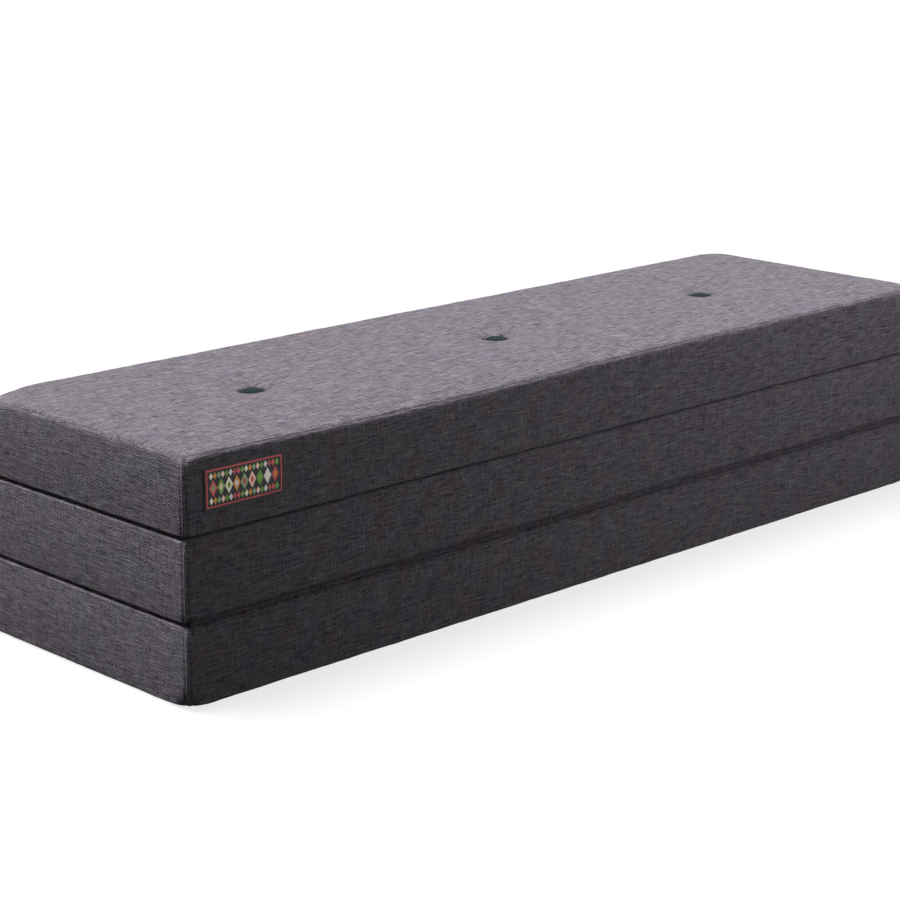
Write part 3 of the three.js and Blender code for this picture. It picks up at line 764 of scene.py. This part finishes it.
def label_weave():
    """Damask-woven label in rayon satin thread: a near-black ground and small bright shapes. The thread
    is bright and smooth, so the shapes mirror some of the studio and stand out from the matt cover."""
    material, tree = new_material("damask_label")
    place = add(tree, "ShaderNodeAttribute", output="Vector", attribute_name="cloth")
    split = add(tree, "ShaderNodeSeparateXYZ", {0: place}, output=None)
    u, v = split.outputs[0], split.outputs[1]
    half_width, half_height = LABEL_LENGTH / 2, LABEL_HEIGHT / 2
    colours = ["#c8595c", "#6f9a3c", "#e6dfc9", "#c98a35", "#7fa27c", "#e9c4b6", "#5f8f2f", "#d8d5d8",
               "#b0494d"]

    # How far each point lies from the middle lines, and from the nearest edge
    off_middle, to_side = [], []
    for place_along, half in ((u, half_width), (v, half_height)):
        off = add(tree, MATH, {0: place_along, 1: half}, operation="SUBTRACT")
        off_middle.append(add(tree, MATH, {0: off}, operation="ABSOLUTE"))
        to_side.append(add(tree, MATH, {0: half, 1: off_middle[-1]}, operation="SUBTRACT"))
    to_edge = add(tree, MATH, {0: to_side[0], 1: to_side[1]}, operation="MINIMUM")
    frame_line = add(tree, MATH, {0: to_edge, 1: LABEL_FRAME_LINE, 2: LABEL_FRAME_HALF_WIDTH},
                     operation="COMPARE")
    design = add(tree, MIX, {"Factor": frame_line, "A": srgb("#151314"), "B": srgb("#b2474a")},
                 output="Result", data_type="RGBA")

    # Nine large diamonds along the middle, a small one in each, and eighteen small ones over and under
    # them. Each row gives its count, its height off the middle, half a diamond's width and height in
    # millimetres, and how far on it starts in the colours.
    rows = ((9, 0, 5.6, 10.0, 0), (9, 0, 2.7, 5.0, 4), (18, 14.6, 2.8, 4.4, 2))
    for count, middle, half_x, half_y, shift in rows:
        pitch = (LABEL_LENGTH - 2 * LABEL_MARGIN) / count
        cell = add(tree, MATH, {0: u, 1: 1 / pitch, 2: -LABEL_MARGIN / pitch}, operation="MULTIPLY_ADD")
        number = add(tree, MATH, {0: cell}, operation="FLOOR")
        share = add(tree, MATH, {0: cell}, operation="FRACT")
        from_middle = add(tree, MATH, {0: share, 1: 0.5}, operation="SUBTRACT")
        across = add(tree, MATH, {0: from_middle}, operation="ABSOLUTE")
        across = add(tree, MATH, {0: across, 1: pitch / (half_x * MM)}, operation="MULTIPLY")
        up = add(tree, MATH, {0: off_middle[1], 1: middle * MM}, operation="SUBTRACT")
        up = add(tree, MATH, {0: up}, operation="ABSOLUTE")
        reach = add(tree, MATH, {0: up, 1: 1 / (half_y * MM), 2: across}, operation="MULTIPLY_ADD")
        within = add(tree, MATH, {0: reach, 1: 1}, operation="LESS_THAN")
        on_field = add(tree, MATH, {0: to_side[0], 1: LABEL_MARGIN}, operation="GREATER_THAN")
        within = add(tree, MATH, {0: within, 1: on_field}, operation="MULTIPLY")
        turn = add(tree, MATH, {0: number, 1: 0.5 + shift}, operation="ADD")
        turn = add(tree, MATH, {0: turn, 1: len(colours)}, operation="FLOORED_MODULO")
        turn = add(tree, MATH, {0: turn, 1: len(colours)}, operation="DIVIDE")
        thread = add(tree, RAMP, {"Fac": turn}, output=None,
                     stops=[(i / len(colours), colour) for i, colour in enumerate(colours)])
        thread.color_ramp.interpolation = "CONSTANT"
        design = add(tree, MIX, {"Factor": within, "A": design, "B": thread.outputs["Color"]},
                     output="Result", data_type="RGBA")

    # Picks are 0.25 mm apart in the real label and are drawn 0.7 mm apart, or they wouldn't show
    picks = add(tree, WAVE, {"Vector": place, "Scale": WAVE_LENGTH / (0.7 * MM), "Distortion": 0.5},
                bands_direction="Y")
    shaded = add(tree, RAMP, {"Fac": picks}, stops=[(0, "#d0d0d0"), (1, "#ffffff")])
    colour = add(tree, MIX, {"Factor": 1, "A": design, "B": shaded}, output="Result", data_type="RGBA",
                 blend_type="MULTIPLY")
    bump = add(tree, "ShaderNodeBump", {"Height": picks, "Strength": 0.35, "Distance": 0.2 * MM})
    finish_material(tree, {"Base Color": colour, "Roughness": 0.45, "Metallic": 0.5, "Normal": bump})
    return material


MELANGE = melange_cloth()
BUTTON_CLOTH = button_cloth()
FOAM = cut_foam()
TWINE = tuft_twine()
ZIP_TAPE = woven_zip_tape()
ZIP_COIL = nylon_coil()
ZINC = plated_zinc()
LABEL = label_weave()


# The pieces of a panel

def at_panel(points, panel, upside_down=False, drawn=True):
    """Points about a panel's own middle, drawn in at its folds and set at its height."""
    placed = np.array(points, float).reshape(-1, 3)
    if upside_down:
        placed[:, 1:] *= -1
    if drawn:
        placed = drawn_to_folds(placed, panel)
    if panel == "top":
        placed = settled(placed)
    placed[:, 2] += PANEL_MIDDLE[panel]
    return placed


def slack(x, y):
    """How far a face hangs under its full height before the foam lifts it: most between the tufts."""
    from_edge = np.minimum(HALF_LENGTH - np.abs(x), HALF_DEPTH - np.abs(y))
    held = np.ones_like(x)
    for place in TUFTS:
        held *= 1 - np.exp(-(np.hypot(x - place, y) / SWELL_ROUND_TUFT) ** 2)
    return SWELL * eased((from_edge - SWELL_FROM_EDGE) / SWELL_RISE) * held


def border(face):
    """The outermost points of a face's grid, in the order of a ring round the side."""
    k = PAD_PLAN.corner_cells
    rows, columns = face.shape
    return np.concatenate([
        face[0, k:columns], face[1:rows, columns - 1], face[rows - 1, columns - 2::-1],
        face[rows - 2:0:-1, 0], face[0, 0:k],
    ])


def foam_form(panel, floor):
    """The foam of a panel, moulded by its tufts, as points and faces. Also gives the two faces' numbers."""
    lower_edge, upper_edge = EDGES[panel]
    upper = face_form(PAD_PLAN, upper_edge, False).points.copy()
    lower = face_form(PAD_PLAN, lower_edge, False).points.copy()
    for face in (upper, lower):
        face[..., 2] -= tuft_pull(face[..., 0], face[..., 1], floor, 1)
    lower[..., 1:] *= -1
    side = side_form(PAD_PLAN, lower_edge, upper_edge, PAD_SIDE_HEIGHTS, False).points[1:-1]
    upper_numbers = np.arange(upper.size // 3).reshape(upper.shape[:2])
    lower_numbers = upper_numbers.size + upper_numbers
    side_numbers = 2 * upper_numbers.size + np.arange(side.size // 3).reshape(side.shape[:2])
    rings = np.vstack([border(lower_numbers[::-1]), side_numbers, border(upper_numbers)])
    rings = np.hstack([rings, rings[:, :1]])
    faces = np.vstack([quads(upper_numbers), quads(lower_numbers), quads(rings)]).tolist()
    points = np.concatenate([part.reshape(-1, 3) for part in (upper, lower, side)])
    return points, faces, upper_numbers, lower_numbers


def lifted_by_foam():
    """Both faces of a pad, blown up as cloth that is held at its seams and its tufts. Gives how far
    each rises over its slack, and where, as (upper, lower, x, y)."""
    full, faces, upper, lower = foam_form("top", DIMPLE_FLOOR)
    hung = full.copy()
    drop = slack(full[:, 0], full[:, 1])
    hung[upper, 2] -= drop[upper]
    hung[lower, 2] += drop[lower]
    rise = drop * 0.5
    pad = mesh_piece("pad_under_pressure", hung, faces, FOAM)
    held = pad.vertex_groups.new(name="held")
    nearly_none = 0.02 * MM
    held.add([int(i) for i in np.flatnonzero(drop < nearly_none)], 1.0, "REPLACE")
    cloth = pad.modifiers.new("lift", "CLOTH")
    cloth.settings.vertex_group_mass = "held"
    cloth.settings.quality = 5
    cloth.settings.mass = 0.4
    cloth.settings.tension_stiffness = 15
    cloth.settings.compression_stiffness = 15
    cloth.settings.bending_stiffness = 2
    cloth.settings.use_pressure = True
    cloth.settings.uniform_pressure_force = 4
    cloth.settings.effector_weights.gravity = 0
    cloth.collision_settings.use_self_collision = False
    for step in range(1, LIFT_STEPS + 1):
        bpy.context.scene.frame_set(step)
    lifted = pad.evaluated_get(bpy.context.evaluated_depsgraph_get()).to_mesh()
    moved = np.empty(3 * len(full))
    lifted.vertices.foreach_get("co", moved)
    most = 1.1 * drop
    rise = np.clip(np.abs(moved.reshape(-1, 3)[:, 2]) - np.abs(hung[:, 2]), 0, most)
    bpy.context.scene.frame_set(1)
    bpy.data.objects.remove(pad)
    x = full[upper[upper.shape[0] // 2], 0]
    y = full[upper[:, upper.shape[1] // 2], 1]
    return rise[upper] - drop[upper], rise[lower] - drop[lower], x, y


def spread_over(field, from_x, from_y, x, y):
    """A pad's heights carried over to other points of the face."""
    columns = np.interp(x, from_x, np.arange(len(from_x)))
    rows = np.interp(y, from_y, np.arange(len(from_y)))
    c, r = np.minimum(columns.astype(int), len(from_x) - 2), np.minimum(rows.astype(int), len(from_y) - 2)
    u, v = columns - c, rows - r
    low = field[r, c] * (1 - u) + field[r, c + 1] * u
    high = field[r + 1, c] * (1 - u) + field[r + 1, c + 1] * u
    return low * (1 - v) + high * v


def smoothed(field, times):
    """Heights on a grid, evened out with their neighbours."""
    for _ in range(times):
        for axis in (0, 1):
            padded = np.concatenate([field.take([0], axis), field, field.take([-1], axis)], axis)
            count = field.shape[axis]
            before, after = padded.take(range(count), axis), padded.take(range(2, count + 2), axis)
            field = (before + 2 * field + after) / 4
    return field


UPPER_LIFT, LOWER_LIFT, LIFT_X, LIFT_Y = lifted_by_foam()


def face_cloth(panel, side, seed):
    """One face of the cover, a tufted sheet that turns over the edge down to the seam."""
    upper = side == "upper"
    edge = EDGES[panel][upper]
    form = face_form(COVER_PLAN, edge, True)
    grid = form.points.copy()
    x, y = grid[..., 0].copy(), grid[..., 1].copy()
    lift = spread_over(UPPER_LIFT if upper else LOWER_LIFT, LIFT_X, LIFT_Y, x, y)
    grid[..., 2] += smoothed(lift, LIFT_SMOOTHINGS) - tuft_pull(x, y, DIMPLE_FLOOR, seed)
    # The foam's top is never quite flat: wide hollows, and smaller ones in them
    wide, small = drift(x, y, 170 * MM, seed), drift(x, y, 60 * MM, seed + 1)
    grid[..., 2] -= 0.4 * MM * (1 + wide) + 0.2 * MM * (1 + small)
    fade = np.exp(-form.from_seam / PUCKER_REACH) * form.corner_fade * edge.puckers
    grid += (seam_puckers(x, y, seed) * fade)[..., None] * normals_of(grid)
    cloth = form.cloth + [0, 0, FACE_APART * seed]
    points, faces, places = cloth_shell(grid, cloth, CLOTH)
    placed = at_panel(points, panel, not upper)
    piece = mesh_piece(f"{panel}_{side}_cover_face", placed, faces, MELANGE, places)
    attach(piece, f"{panel}_panel")
    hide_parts(f"{panel}_{side}_face_cloth")


def side_grid(panel, seed):
    """The skin of the side band, from its lower hem to its upper hem, once round the panel."""
    lower_edge, upper_edge = EDGES[panel]
    form = side_form(COVER_PLAN, lower_edge, upper_edge, SIDE_HEIGHTS, True)
    x, y, z = form.points[..., 0], form.points[..., 1], form.points[..., 2]
    out = normals_of(form.points, True)
    to_seam, from_corner = form.from_seam, form.corner_fade
    puckers = np.where(z > 0, upper_edge.puckers * seam_puckers(x, y, seed),
                       lower_edge.puckers * seam_puckers(x, -y, seed + 1))
    push = puckers * np.exp(-np.abs(to_seam - 3 * MM) / PUCKER_REACH) * eased(from_corner / (10 * MM))
    # The foam presses unevenly against the sides, but not at the seams
    along = form.cloth[..., 0] + form.cloth[..., 2]
    push += 0.6 * MM * drift(along, z, 90 * MM, seed + 2) * eased(to_seam / (20 * MM))
    push += corner_seam(from_corner, to_seam)
    grid = drawn_to_folds(form.points + push[..., None] * out, panel)
    return grid, form.cloth + [0, PANEL_MIDDLE[panel], 0]


def side_band(panel, grid, cloth):
    """The strip round a panel's sides, sewn at the corners and open over the zip."""
    first = (len(COVER_PLAN.x_lines) + 2 * COVER_PLAN.corner_cells - 1) // LINING_STRIDE
    last = first + (len(COVER_PLAN.y_lines) - 1) // LINING_STRIDE
    rows_over_zip = slice(3, 5)
    opening = (rows_over_zip, slice(first - 1, last + 1))
    points, faces, places = cloth_shell(grid, cloth, CLOTH, True, opening)
    placed = at_panel(points, panel, drawn=False)
    piece = mesh_piece(f"{panel}_cover_side_band", placed, faces, MELANGE, places)
    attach(piece, f"{panel}_panel")
    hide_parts(f"{panel}_side_band")


def foam_block(panel):
    """The foam inside the cover, drawn in under the buttons and relieved behind the zip."""
    floor_in_foam = DIMPLE_FLOOR + 3.5 * MM
    points, faces, upper, lower = foam_form(panel, floor_in_foam)
    points[upper, 2] += UPPER_LIFT
    points[lower, 2] -= LOWER_LIFT
    mesh = bpy.data.meshes.new("under_the_cover")
    mesh.from_pydata(points.tolist(), [], faces)
    mesh.update()
    outward = np.empty(points.size)
    mesh.vertices.foreach_get("normal", outward)
    bpy.data.meshes.remove(mesh)
    points -= FOAM_UNDER_CLOTH * outward.reshape(-1, 3)
    x, y, z = points.T
    behind_zip = (x > 0) & (np.abs(y) < ZIP_RELIEF_HALF_WIDTH) & (np.abs(z) < ZIP_RELIEF_HALF_HEIGHT)
    points[behind_zip, 0] = np.minimum(x[behind_zip], HALF_LENGTH - FOAM_BEHIND_ZIP)
    piece = mesh_piece(f"{panel}_foam_block", at_panel(points, panel), faces, FOAM)
    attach(piece, f"{panel}_panel")
    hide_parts(f"{panel}_foam_core")


def button_section():
    """The section of a covered button, from the foot of its shank to the top of its dome."""
    foot, top = BUTTON_FOOT, BUTTON_TOP
    back = HALF_PANEL - DIMPLE_DEPTH + 0.3 * MM
    low, rise = back + 0.28 * (top - back), 0.72 * (top - back)
    dome = [(BUTTON_RADIUS * math.sin(a), low + rise * math.cos(a) ** 0.6)
            for a in np.radians([90, 82, 74, 65, 55, 45, 35, 25, 16, 8])]
    # The rim rolls round from the back, and the shank's foot is chamfered
    rim = [(BUTTON_RADIUS - inward * MM, back + up * MM) for inward, up in ((1.6, 0), (0.6, 0.5), (0.1, 1.3))]
    shank_radius, chamfer = 3 * MM, 0.5 * MM
    shank = [(2.6 * MM, foot), (shank_radius, foot + chamfer), (shank_radius, back)]
    return [(0, foot)] + shank + rim + dome + [(0, top)]


def turned(section, sides):
    """Points and faces of a section turned about Z, closed at both ends."""
    angle = np.arange(sides) * math.tau / sides
    rings = [stacked(r * np.cos(angle), r * np.sin(angle), z) for r, z in section[1:-1]]
    points = np.concatenate([[(0, 0, section[0][1])], *rings, [(0, 0, section[-1][1])]])
    numbers = 1 + np.arange(len(rings) * sides).reshape(len(rings), sides)
    numbers = np.hstack([numbers, numbers[:, :1]])
    faces = quads(numbers).tolist()
    faces += [(0, b, a) for a, b in zip(numbers[0], numbers[0][1:])]
    faces += [(a, b, len(points) - 1) for a, b in zip(numbers[-1], numbers[-1][1:])]
    return points, faces


def button(panel, side, number):
    """A cloth-covered button, with the cloth gathered round under its rim."""
    points, faces = turned(button_section(), 48)
    angle, reach = np.arctan2(points[:, 1], points[:, 0]), np.hypot(points[:, 0], points[:, 1])
    depth, count = 0.12 * MM, 16
    gathers = depth * np.sin(count * angle) * np.clip(reach / BUTTON_RADIUS, 0, 1) ** 6
    points[:, :2] *= (1 + gathers / np.maximum(reach, MM))[:, None]
    placed = at_panel(points, panel, side == "lower") + [TUFTS[number - 1], 0, 0]
    piece = mesh_piece(f"{panel}_{side}_covered_button_{number}", placed, faces, BUTTON_CLOTH)
    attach(piece, f"{panel}_panel")
    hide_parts(f"{panel}_{side}_button_{number}")


def zip_half(panel, side):
    """One woven tape of the zip, and the nylon coil along its edge."""
    low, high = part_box(f"{panel}_zip_{side}_tape")
    sign = 1 if side == "upper" else -1
    middle = PANEL_MIDDLE[panel]
    inner = min(abs(low.z - middle), abs(high.z - middle))
    outer = max(abs(low.z - middle), abs(high.z - middle))
    centre_x = (low.x + high.x) / 2
    y = np.linspace(low.y, high.y, 118)[None, :]
    z = np.linspace(inner + COIL_WIDTH, outer, 7)[:, None]
    rows = z if sign > 0 else -z[::-1]
    # The coil keeps the tape straight, and its free edge waves a little
    wavy = 0.15 * MM * wander(y + sign, 40 * MM, 3) * eased((np.abs(rows) - 4 * MM) / (6 * MM))
    x = centre_x + ZIP_TAPE_THICKNESS / 2 + wavy
    grid = stacked(x, y, rows + middle)
    points, faces, places = cloth_shell(grid, grid, ZIP_TAPE_THICKNESS)
    tape = mesh_piece(f"{panel}_zip_{side}_woven_tape", points, faces, ZIP_TAPE, places)

    # A flattened spiral
    points_per_loop, half_depth, half_height = 8, 0.5 * MM, 0.7 * MM
    turn = np.arange(COIL_LOOPS * points_per_loop + 1) / points_per_loop
    path = stacked(centre_x + half_depth * np.cos(turn * math.tau),
                   2 * COIL_HALF_RUN * turn / COIL_LOOPS - COIL_HALF_RUN,
                   middle + sign * (inner + COIL_WIDTH / 2 + half_height * np.sin(turn * math.tau)))
    points, faces = tube(path, COIL_WIRE, 4, np.array([0.0, 1.0, 0.0]))
    coil = mesh_piece(f"{panel}_zip_{side}_coil", points, faces, ZIP_COIL)
    for piece in (tape, coil):
        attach(piece, f"{panel}_panel")
    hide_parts(f"{panel}_zip_{side}_tape")


def zip_guard(panel):
    """A strip of tape behind the zip, sewn in over it, that keeps the slider off the foam."""
    low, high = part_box(f"{panel}_zip_upper_tape")
    slider_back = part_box(f"{panel}_zip_slider")[0].x - 0.25 * MM
    tape_back = (low.x + high.x) / 2 - 0.55 * MM
    y = np.linspace(low.y, high.y, 46)[None, :]
    z = np.linspace(GUARD_DOWN, GUARD_UP, 10)[:, None]
    # It lies behind the slider and comes forward to the tape at its upper edge, where it is sewn on
    x = slider_back + (tape_back - slider_back) * eased((z - 6 * MM) / (6 * MM))
    grid = stacked(x, y, z + PANEL_MIDDLE[panel])
    points, faces, places = cloth_shell(grid, grid, GUARD_THICKNESS)
    guard = mesh_piece(f"{panel}_zip_guard", points, faces, ZIP_TAPE, places)
    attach(guard, f"{panel}_panel")


def metal_part(name):
    """A die-cast part of the zip, with its edges broken as tumbling leaves them."""
    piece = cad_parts[name]
    piece.data.materials.clear()
    piece.data.materials.append(ZINC)
    edge = piece.modifiers.new("broken_edges", "BEVEL")
    edge.width = 0.15 * MM
    edge.segments = 2


def tuft_twines(panel):
    """The twines through the foam, which keep the source's own shape."""
    for number in (1, 2, 3):
        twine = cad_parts[f"{panel}_tuft_twine_{number}"]
        twine.data.materials.clear()
        twine.data.materials.append(TWINE)


# What joins the panels, and the label

def long_side(band, place):
    """The front or the back of a side band between its hems, turned to lie at the front."""
    count = len(COVER_PLAN.x_lines)
    to_back = count + len(COVER_PLAN.y_lines) + 2 * (2 * COVER_PLAN.corner_cells - 1)
    start = 0 if place == "front" else to_back
    side = band[HEM_ROWS:-HEM_ROWS, start:start + count].copy()
    if place == "back":
        side[..., :2] *= -1
    return side


def surface_at(side, x, z):
    """Where a long side's surface lies in Y, at places across it."""
    reach = np.empty(np.broadcast(x, z).shape)
    for i, place in enumerate(x.ravel()):
        heights = [np.interp(place, COVER_PLAN.x_lines, row[:, 2]) for row in side]
        depths = [np.interp(place, COVER_PLAN.x_lines, row[:, 1]) for row in side]
        reach[:, i] = np.interp(z.ravel(), heights, depths)
    return reach


def fold_strip(place, lower_panel, upper_panel):
    """The strip of cover cloth over a fold, sewn flat to both panels and tucked into the crease."""
    low, high = FOLD_CREASES[place]
    crease, half_height = (low.z + high.z) / 2, (high.z - low.z) / 2
    run = np.linspace(-STRIP_HALF_LENGTH, STRIP_HALF_LENGTH, 229)[None, :]
    rows = np.array([row * MM for row in STRIP_ROWS] + [half_height])
    up = np.concatenate([-rows[:0:-1], rows])[:, None]
    under, over = (surface_at(long_side(bands[p], place), run, crease + up - PANEL_MIDDLE[p])
                   for p in (lower_panel, upper_panel))
    lying = np.where(up < 0, under, over) - STRIP_PROUD
    seed, side_number = (71, 1) if place == "front" else (83, 3)
    soft = eased((half_height - np.abs(up)) / (6 * MM))
    wavy = 0.35 * MM * wander(run, 60 * MM, seed) + 0.25 * MM * wander(run, 17 * MM, seed + 1)
    puffed = np.sqrt(np.maximum(0, 1 - (up / STRIP_PUFF_HALF_HEIGHT) ** 2))
    skin = lying - (STRIP_PUFF + wavy) * puffed
    grid = stacked(run, skin, crease + up)
    cloth = stacked(run, crease + up, SIDE_APART * side_number)
    thickness = (0.2 + 0.6 * soft) * MM
    points, faces, places = cloth_shell(grid, cloth, thickness)
    if place == "back":
        points[:, :2] *= -1
    piece = mesh_piece(f"{place}_fold_strip", points, faces, MELANGE, places)
    # Painted shade for the shadow in the crease: darkest along the strip's two seams and a little lighter
    # between them
    off = np.abs(points[:, 2] - crease)
    between, beyond = 0.7 + 0.3 * off / STRIP_SEAM, eased((STRIP_PAINTED_SHADE_REACH - off) / STRIP_PAINTED_SHADE_FADE)
    dark = np.where(off < STRIP_SEAM, between, beyond)
    piece.data.attributes.new("crease", "FLOAT", "POINT").data.foreach_set("value", dark.astype(np.float32))
    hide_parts(f"{place}_fold_hinge_cloth")
    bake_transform(piece)


def woven_label():
    """The label: a thin woven patch, folded under at its ends and sewn down all round."""
    x = np.linspace(label_low.x, label_high.x, 79)[None, :]
    z = np.linspace(label_low.z, label_high.z, 37)[:, None] - PANEL_MIDDLE["top"]
    to_end = np.minimum(x - label_low.x, label_high.x - x)
    to_hem = np.minimum(z - z[0], z[-1] - z)
    to_edge = np.minimum(to_end, to_hem)
    # It puffs up inside its seam and sinks in under the stitches
    sunk = 0.3 * MM * np.exp(-((to_edge - LABEL_SEAM) / (0.9 * MM)) ** 2)
    puff = 0.35 * MM * eased(to_edge / (6 * MM)) - sunk
    folded = 0.25 * MM * (1 - eased((to_end - LABEL_FOLDED_END) / (2 * MM)))
    uneven = 0.15 * MM * drift(x, z + 0 * x, 15 * MM, 41)
    skin = surface_at(long_side(bands["top"], "front"), x, z) - LABEL_PROUD - puff - folded - uneven
    grid = stacked(x, skin, z)
    cloth = stacked(x - label_low.x, z - z[0], 0)
    points, faces, places = cloth_shell(grid, cloth, LABEL_THICKNESS)
    piece = mesh_piece("front_woven_label", at_panel(points, "top"), faces, LABEL, places)

    # Lockstitches 2.6 mm long in a line round the label. Each dips into the cloth at both its ends.
    along_stitch = np.array([-1.3, -1.0, 0, 1.0, 1.3]) * MM
    over_cloth = np.array([-0.3, 0.12, 0.22, 0.12, -0.3]) * MM
    thread_radius = 0.26 * MM
    lines = [(x[0, 0], z[0, 0], 1, 0, LABEL_LENGTH), (x[0, -1], z[0, 0], 0, 1, LABEL_HEIGHT),
             (x[0, -1], z[-1, 0], -1, 0, LABEL_LENGTH), (x[0, 0], z[-1, 0], 0, -1, LABEL_HEIGHT)]
    stitches = []
    for start_x, start_z, along_x, along_z, length in lines:
        sewn = length - 2 * STITCH_MARGIN
        count = round(sewn / STITCH_PITCH)
        for middle in STITCH_MARGIN + (np.arange(count) + 0.5) * sewn / count:
            reach = middle + along_stitch
            px = start_x + along_x * reach - along_z * LABEL_SEAM
            pz = start_z + along_z * reach + along_x * LABEL_SEAM
            base = np.interp(px, x[0], skin[np.argmin(np.abs(z[:, 0] - pz.mean()))])
            path = stacked(px, base - over_cloth, pz)
            stitches.append(tube(path, thread_radius, 5, np.array([0.0, -1.0, 0.0])))
    thread_points, thread_faces = joined(stitches)
    thread = mesh_piece("label_stitches", at_panel(thread_points, "top"), thread_faces, ZIP_TAPE)
    for part in (piece, thread):
        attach(part, "top_panel")
    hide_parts("woven_label")


bands = {}
for index, panel in enumerate(PANELS):
    panel_seed = 10 * index + 11
    for offset, side in enumerate(("upper", "lower")):
        face_cloth(panel, side, panel_seed + offset)
        for number in (1, 2, 3):
            button(panel, side, number)
        zip_half(panel, side)
    bands[panel], band_cloth = side_grid(panel, panel_seed)
    side_band(panel, bands[panel], band_cloth)
    foam_block(panel)
    zip_guard(panel)
    tuft_twines(panel)
    metal_part(f"{panel}_zip_slider")
    metal_part(f"{panel}_zip_pull")
fold_strip("front", "bottom", "middle")
fold_strip("back", "middle", "top")
woven_label()


# The floor, the light and the camera

def seen_directly(tree):
    """1 where the camera looks, straight or through a reflection, and 0 for bounced light."""
    path = add(tree, "ShaderNodeLightPath", output=None)
    mirrored = add(tree, MATH, {0: path.outputs["Is Glossy Ray"], 1: path.outputs["Is Transmission Ray"]},
                   operation="MAXIMUM")
    return add(tree, MATH, {0: path.outputs["Is Camera Ray"], 1: mirrored}, operation="MAXIMUM")


def studio_floor():
    """A white floor. To bounced light it is dark, so that the sides of the mattress keep their shade."""
    material, tree = new_material("white_floor")
    seen = seen_directly(tree)
    bounced = add(tree, "ShaderNodeBsdfDiffuse", {"Color": srgb("#262626")})
    shown = add(tree, "ShaderNodeBsdfDiffuse", {"Color": (0.25, 0.25, 0.25, 1)})
    glow = add(tree, "ShaderNodeEmission", {"Color": (1, 1, 1, 1), "Strength": 0.78})
    white = add(tree, "ShaderNodeAddShader", {0: shown, 1: glow})
    surface = add(tree, "ShaderNodeMixShader", {0: seen, 1: bounced, 2: white})
    add(tree, "ShaderNodeOutputMaterial", {"Surface": surface}, output=None)
    # In metres, and just under the mattress so that neither shows through the other
    reach, level = 30, -0.2 * MM
    corners = [(x * reach, y * reach, level) for x, y in ((-1, -1), (1, -1), (1, 1), (-1, 1))]
    mesh_piece("floor", corners, [(0, 1, 2, 3)], material)


def studio_light():
    """A broad soft light from above that leans to the near end and to the back, a soft spot on the far
    end of the front, and a weak even sky."""
    sun = bpy.data.objects.new("overhead_softbox", bpy.data.lights.new("overhead_softbox", "SUN"))
    sun.data.energy = 3.2
    sun.data.angle = math.radians(27)
    sun.rotation_euler = Vector((-0.23, 0.26, 1)).to_track_quat("Z", "Y").to_euler()
    fill = bpy.data.objects.new("front_spot", bpy.data.lights.new("front_spot", "SPOT"))
    fill.data.energy = 112
    fill.data.spot_size = math.radians(54)
    fill.data.spot_blend = 1
    fill.data.shadow_soft_size = 0.35
    fill.location = (2.15, -2.4, 1.1)
    fill.rotation_euler = (fill.location - Vector((0.66, -0.2, 0.9))).to_track_quat("Z", "Y").to_euler()
    for lamp in (sun, fill):
        bpy.context.scene.collection.objects.link(lamp)
    world = bpy.data.worlds.new("studio")
    bpy.context.scene.world = world
    world.use_nodes = True
    tree = world.node_tree
    tree.nodes.clear()
    strength = add(tree, MATH, {0: seen_directly(tree), 1: 0.944, 2: 0.056}, operation="MULTIPLY_ADD")
    sky = add(tree, "ShaderNodeBackground", {"Color": (1, 1, 1, 1), "Strength": strength})
    add(tree, "ShaderNodeOutputWorld", {"Surface": sky}, output=None)


def camera():
    """The photograph's view, from the near end of the front, solved from the object's straight edges."""
    view = bpy.data.cameras.new("camera")
    view.sensor_width = 36
    view.lens = 96.86
    eye = bpy.data.objects.new("camera", view)
    eye.location = (-2.2938, -2.2348, 1.0024)
    eye.rotation_euler = (math.radians(74.9), math.radians(-0.242), math.radians(-44.562))
    bpy.context.scene.collection.objects.link(eye)
    bpy.context.scene.camera = eye


studio_floor()
studio_light()
camera()
bpy.context.scene.view_settings.view_transform = "Standard"
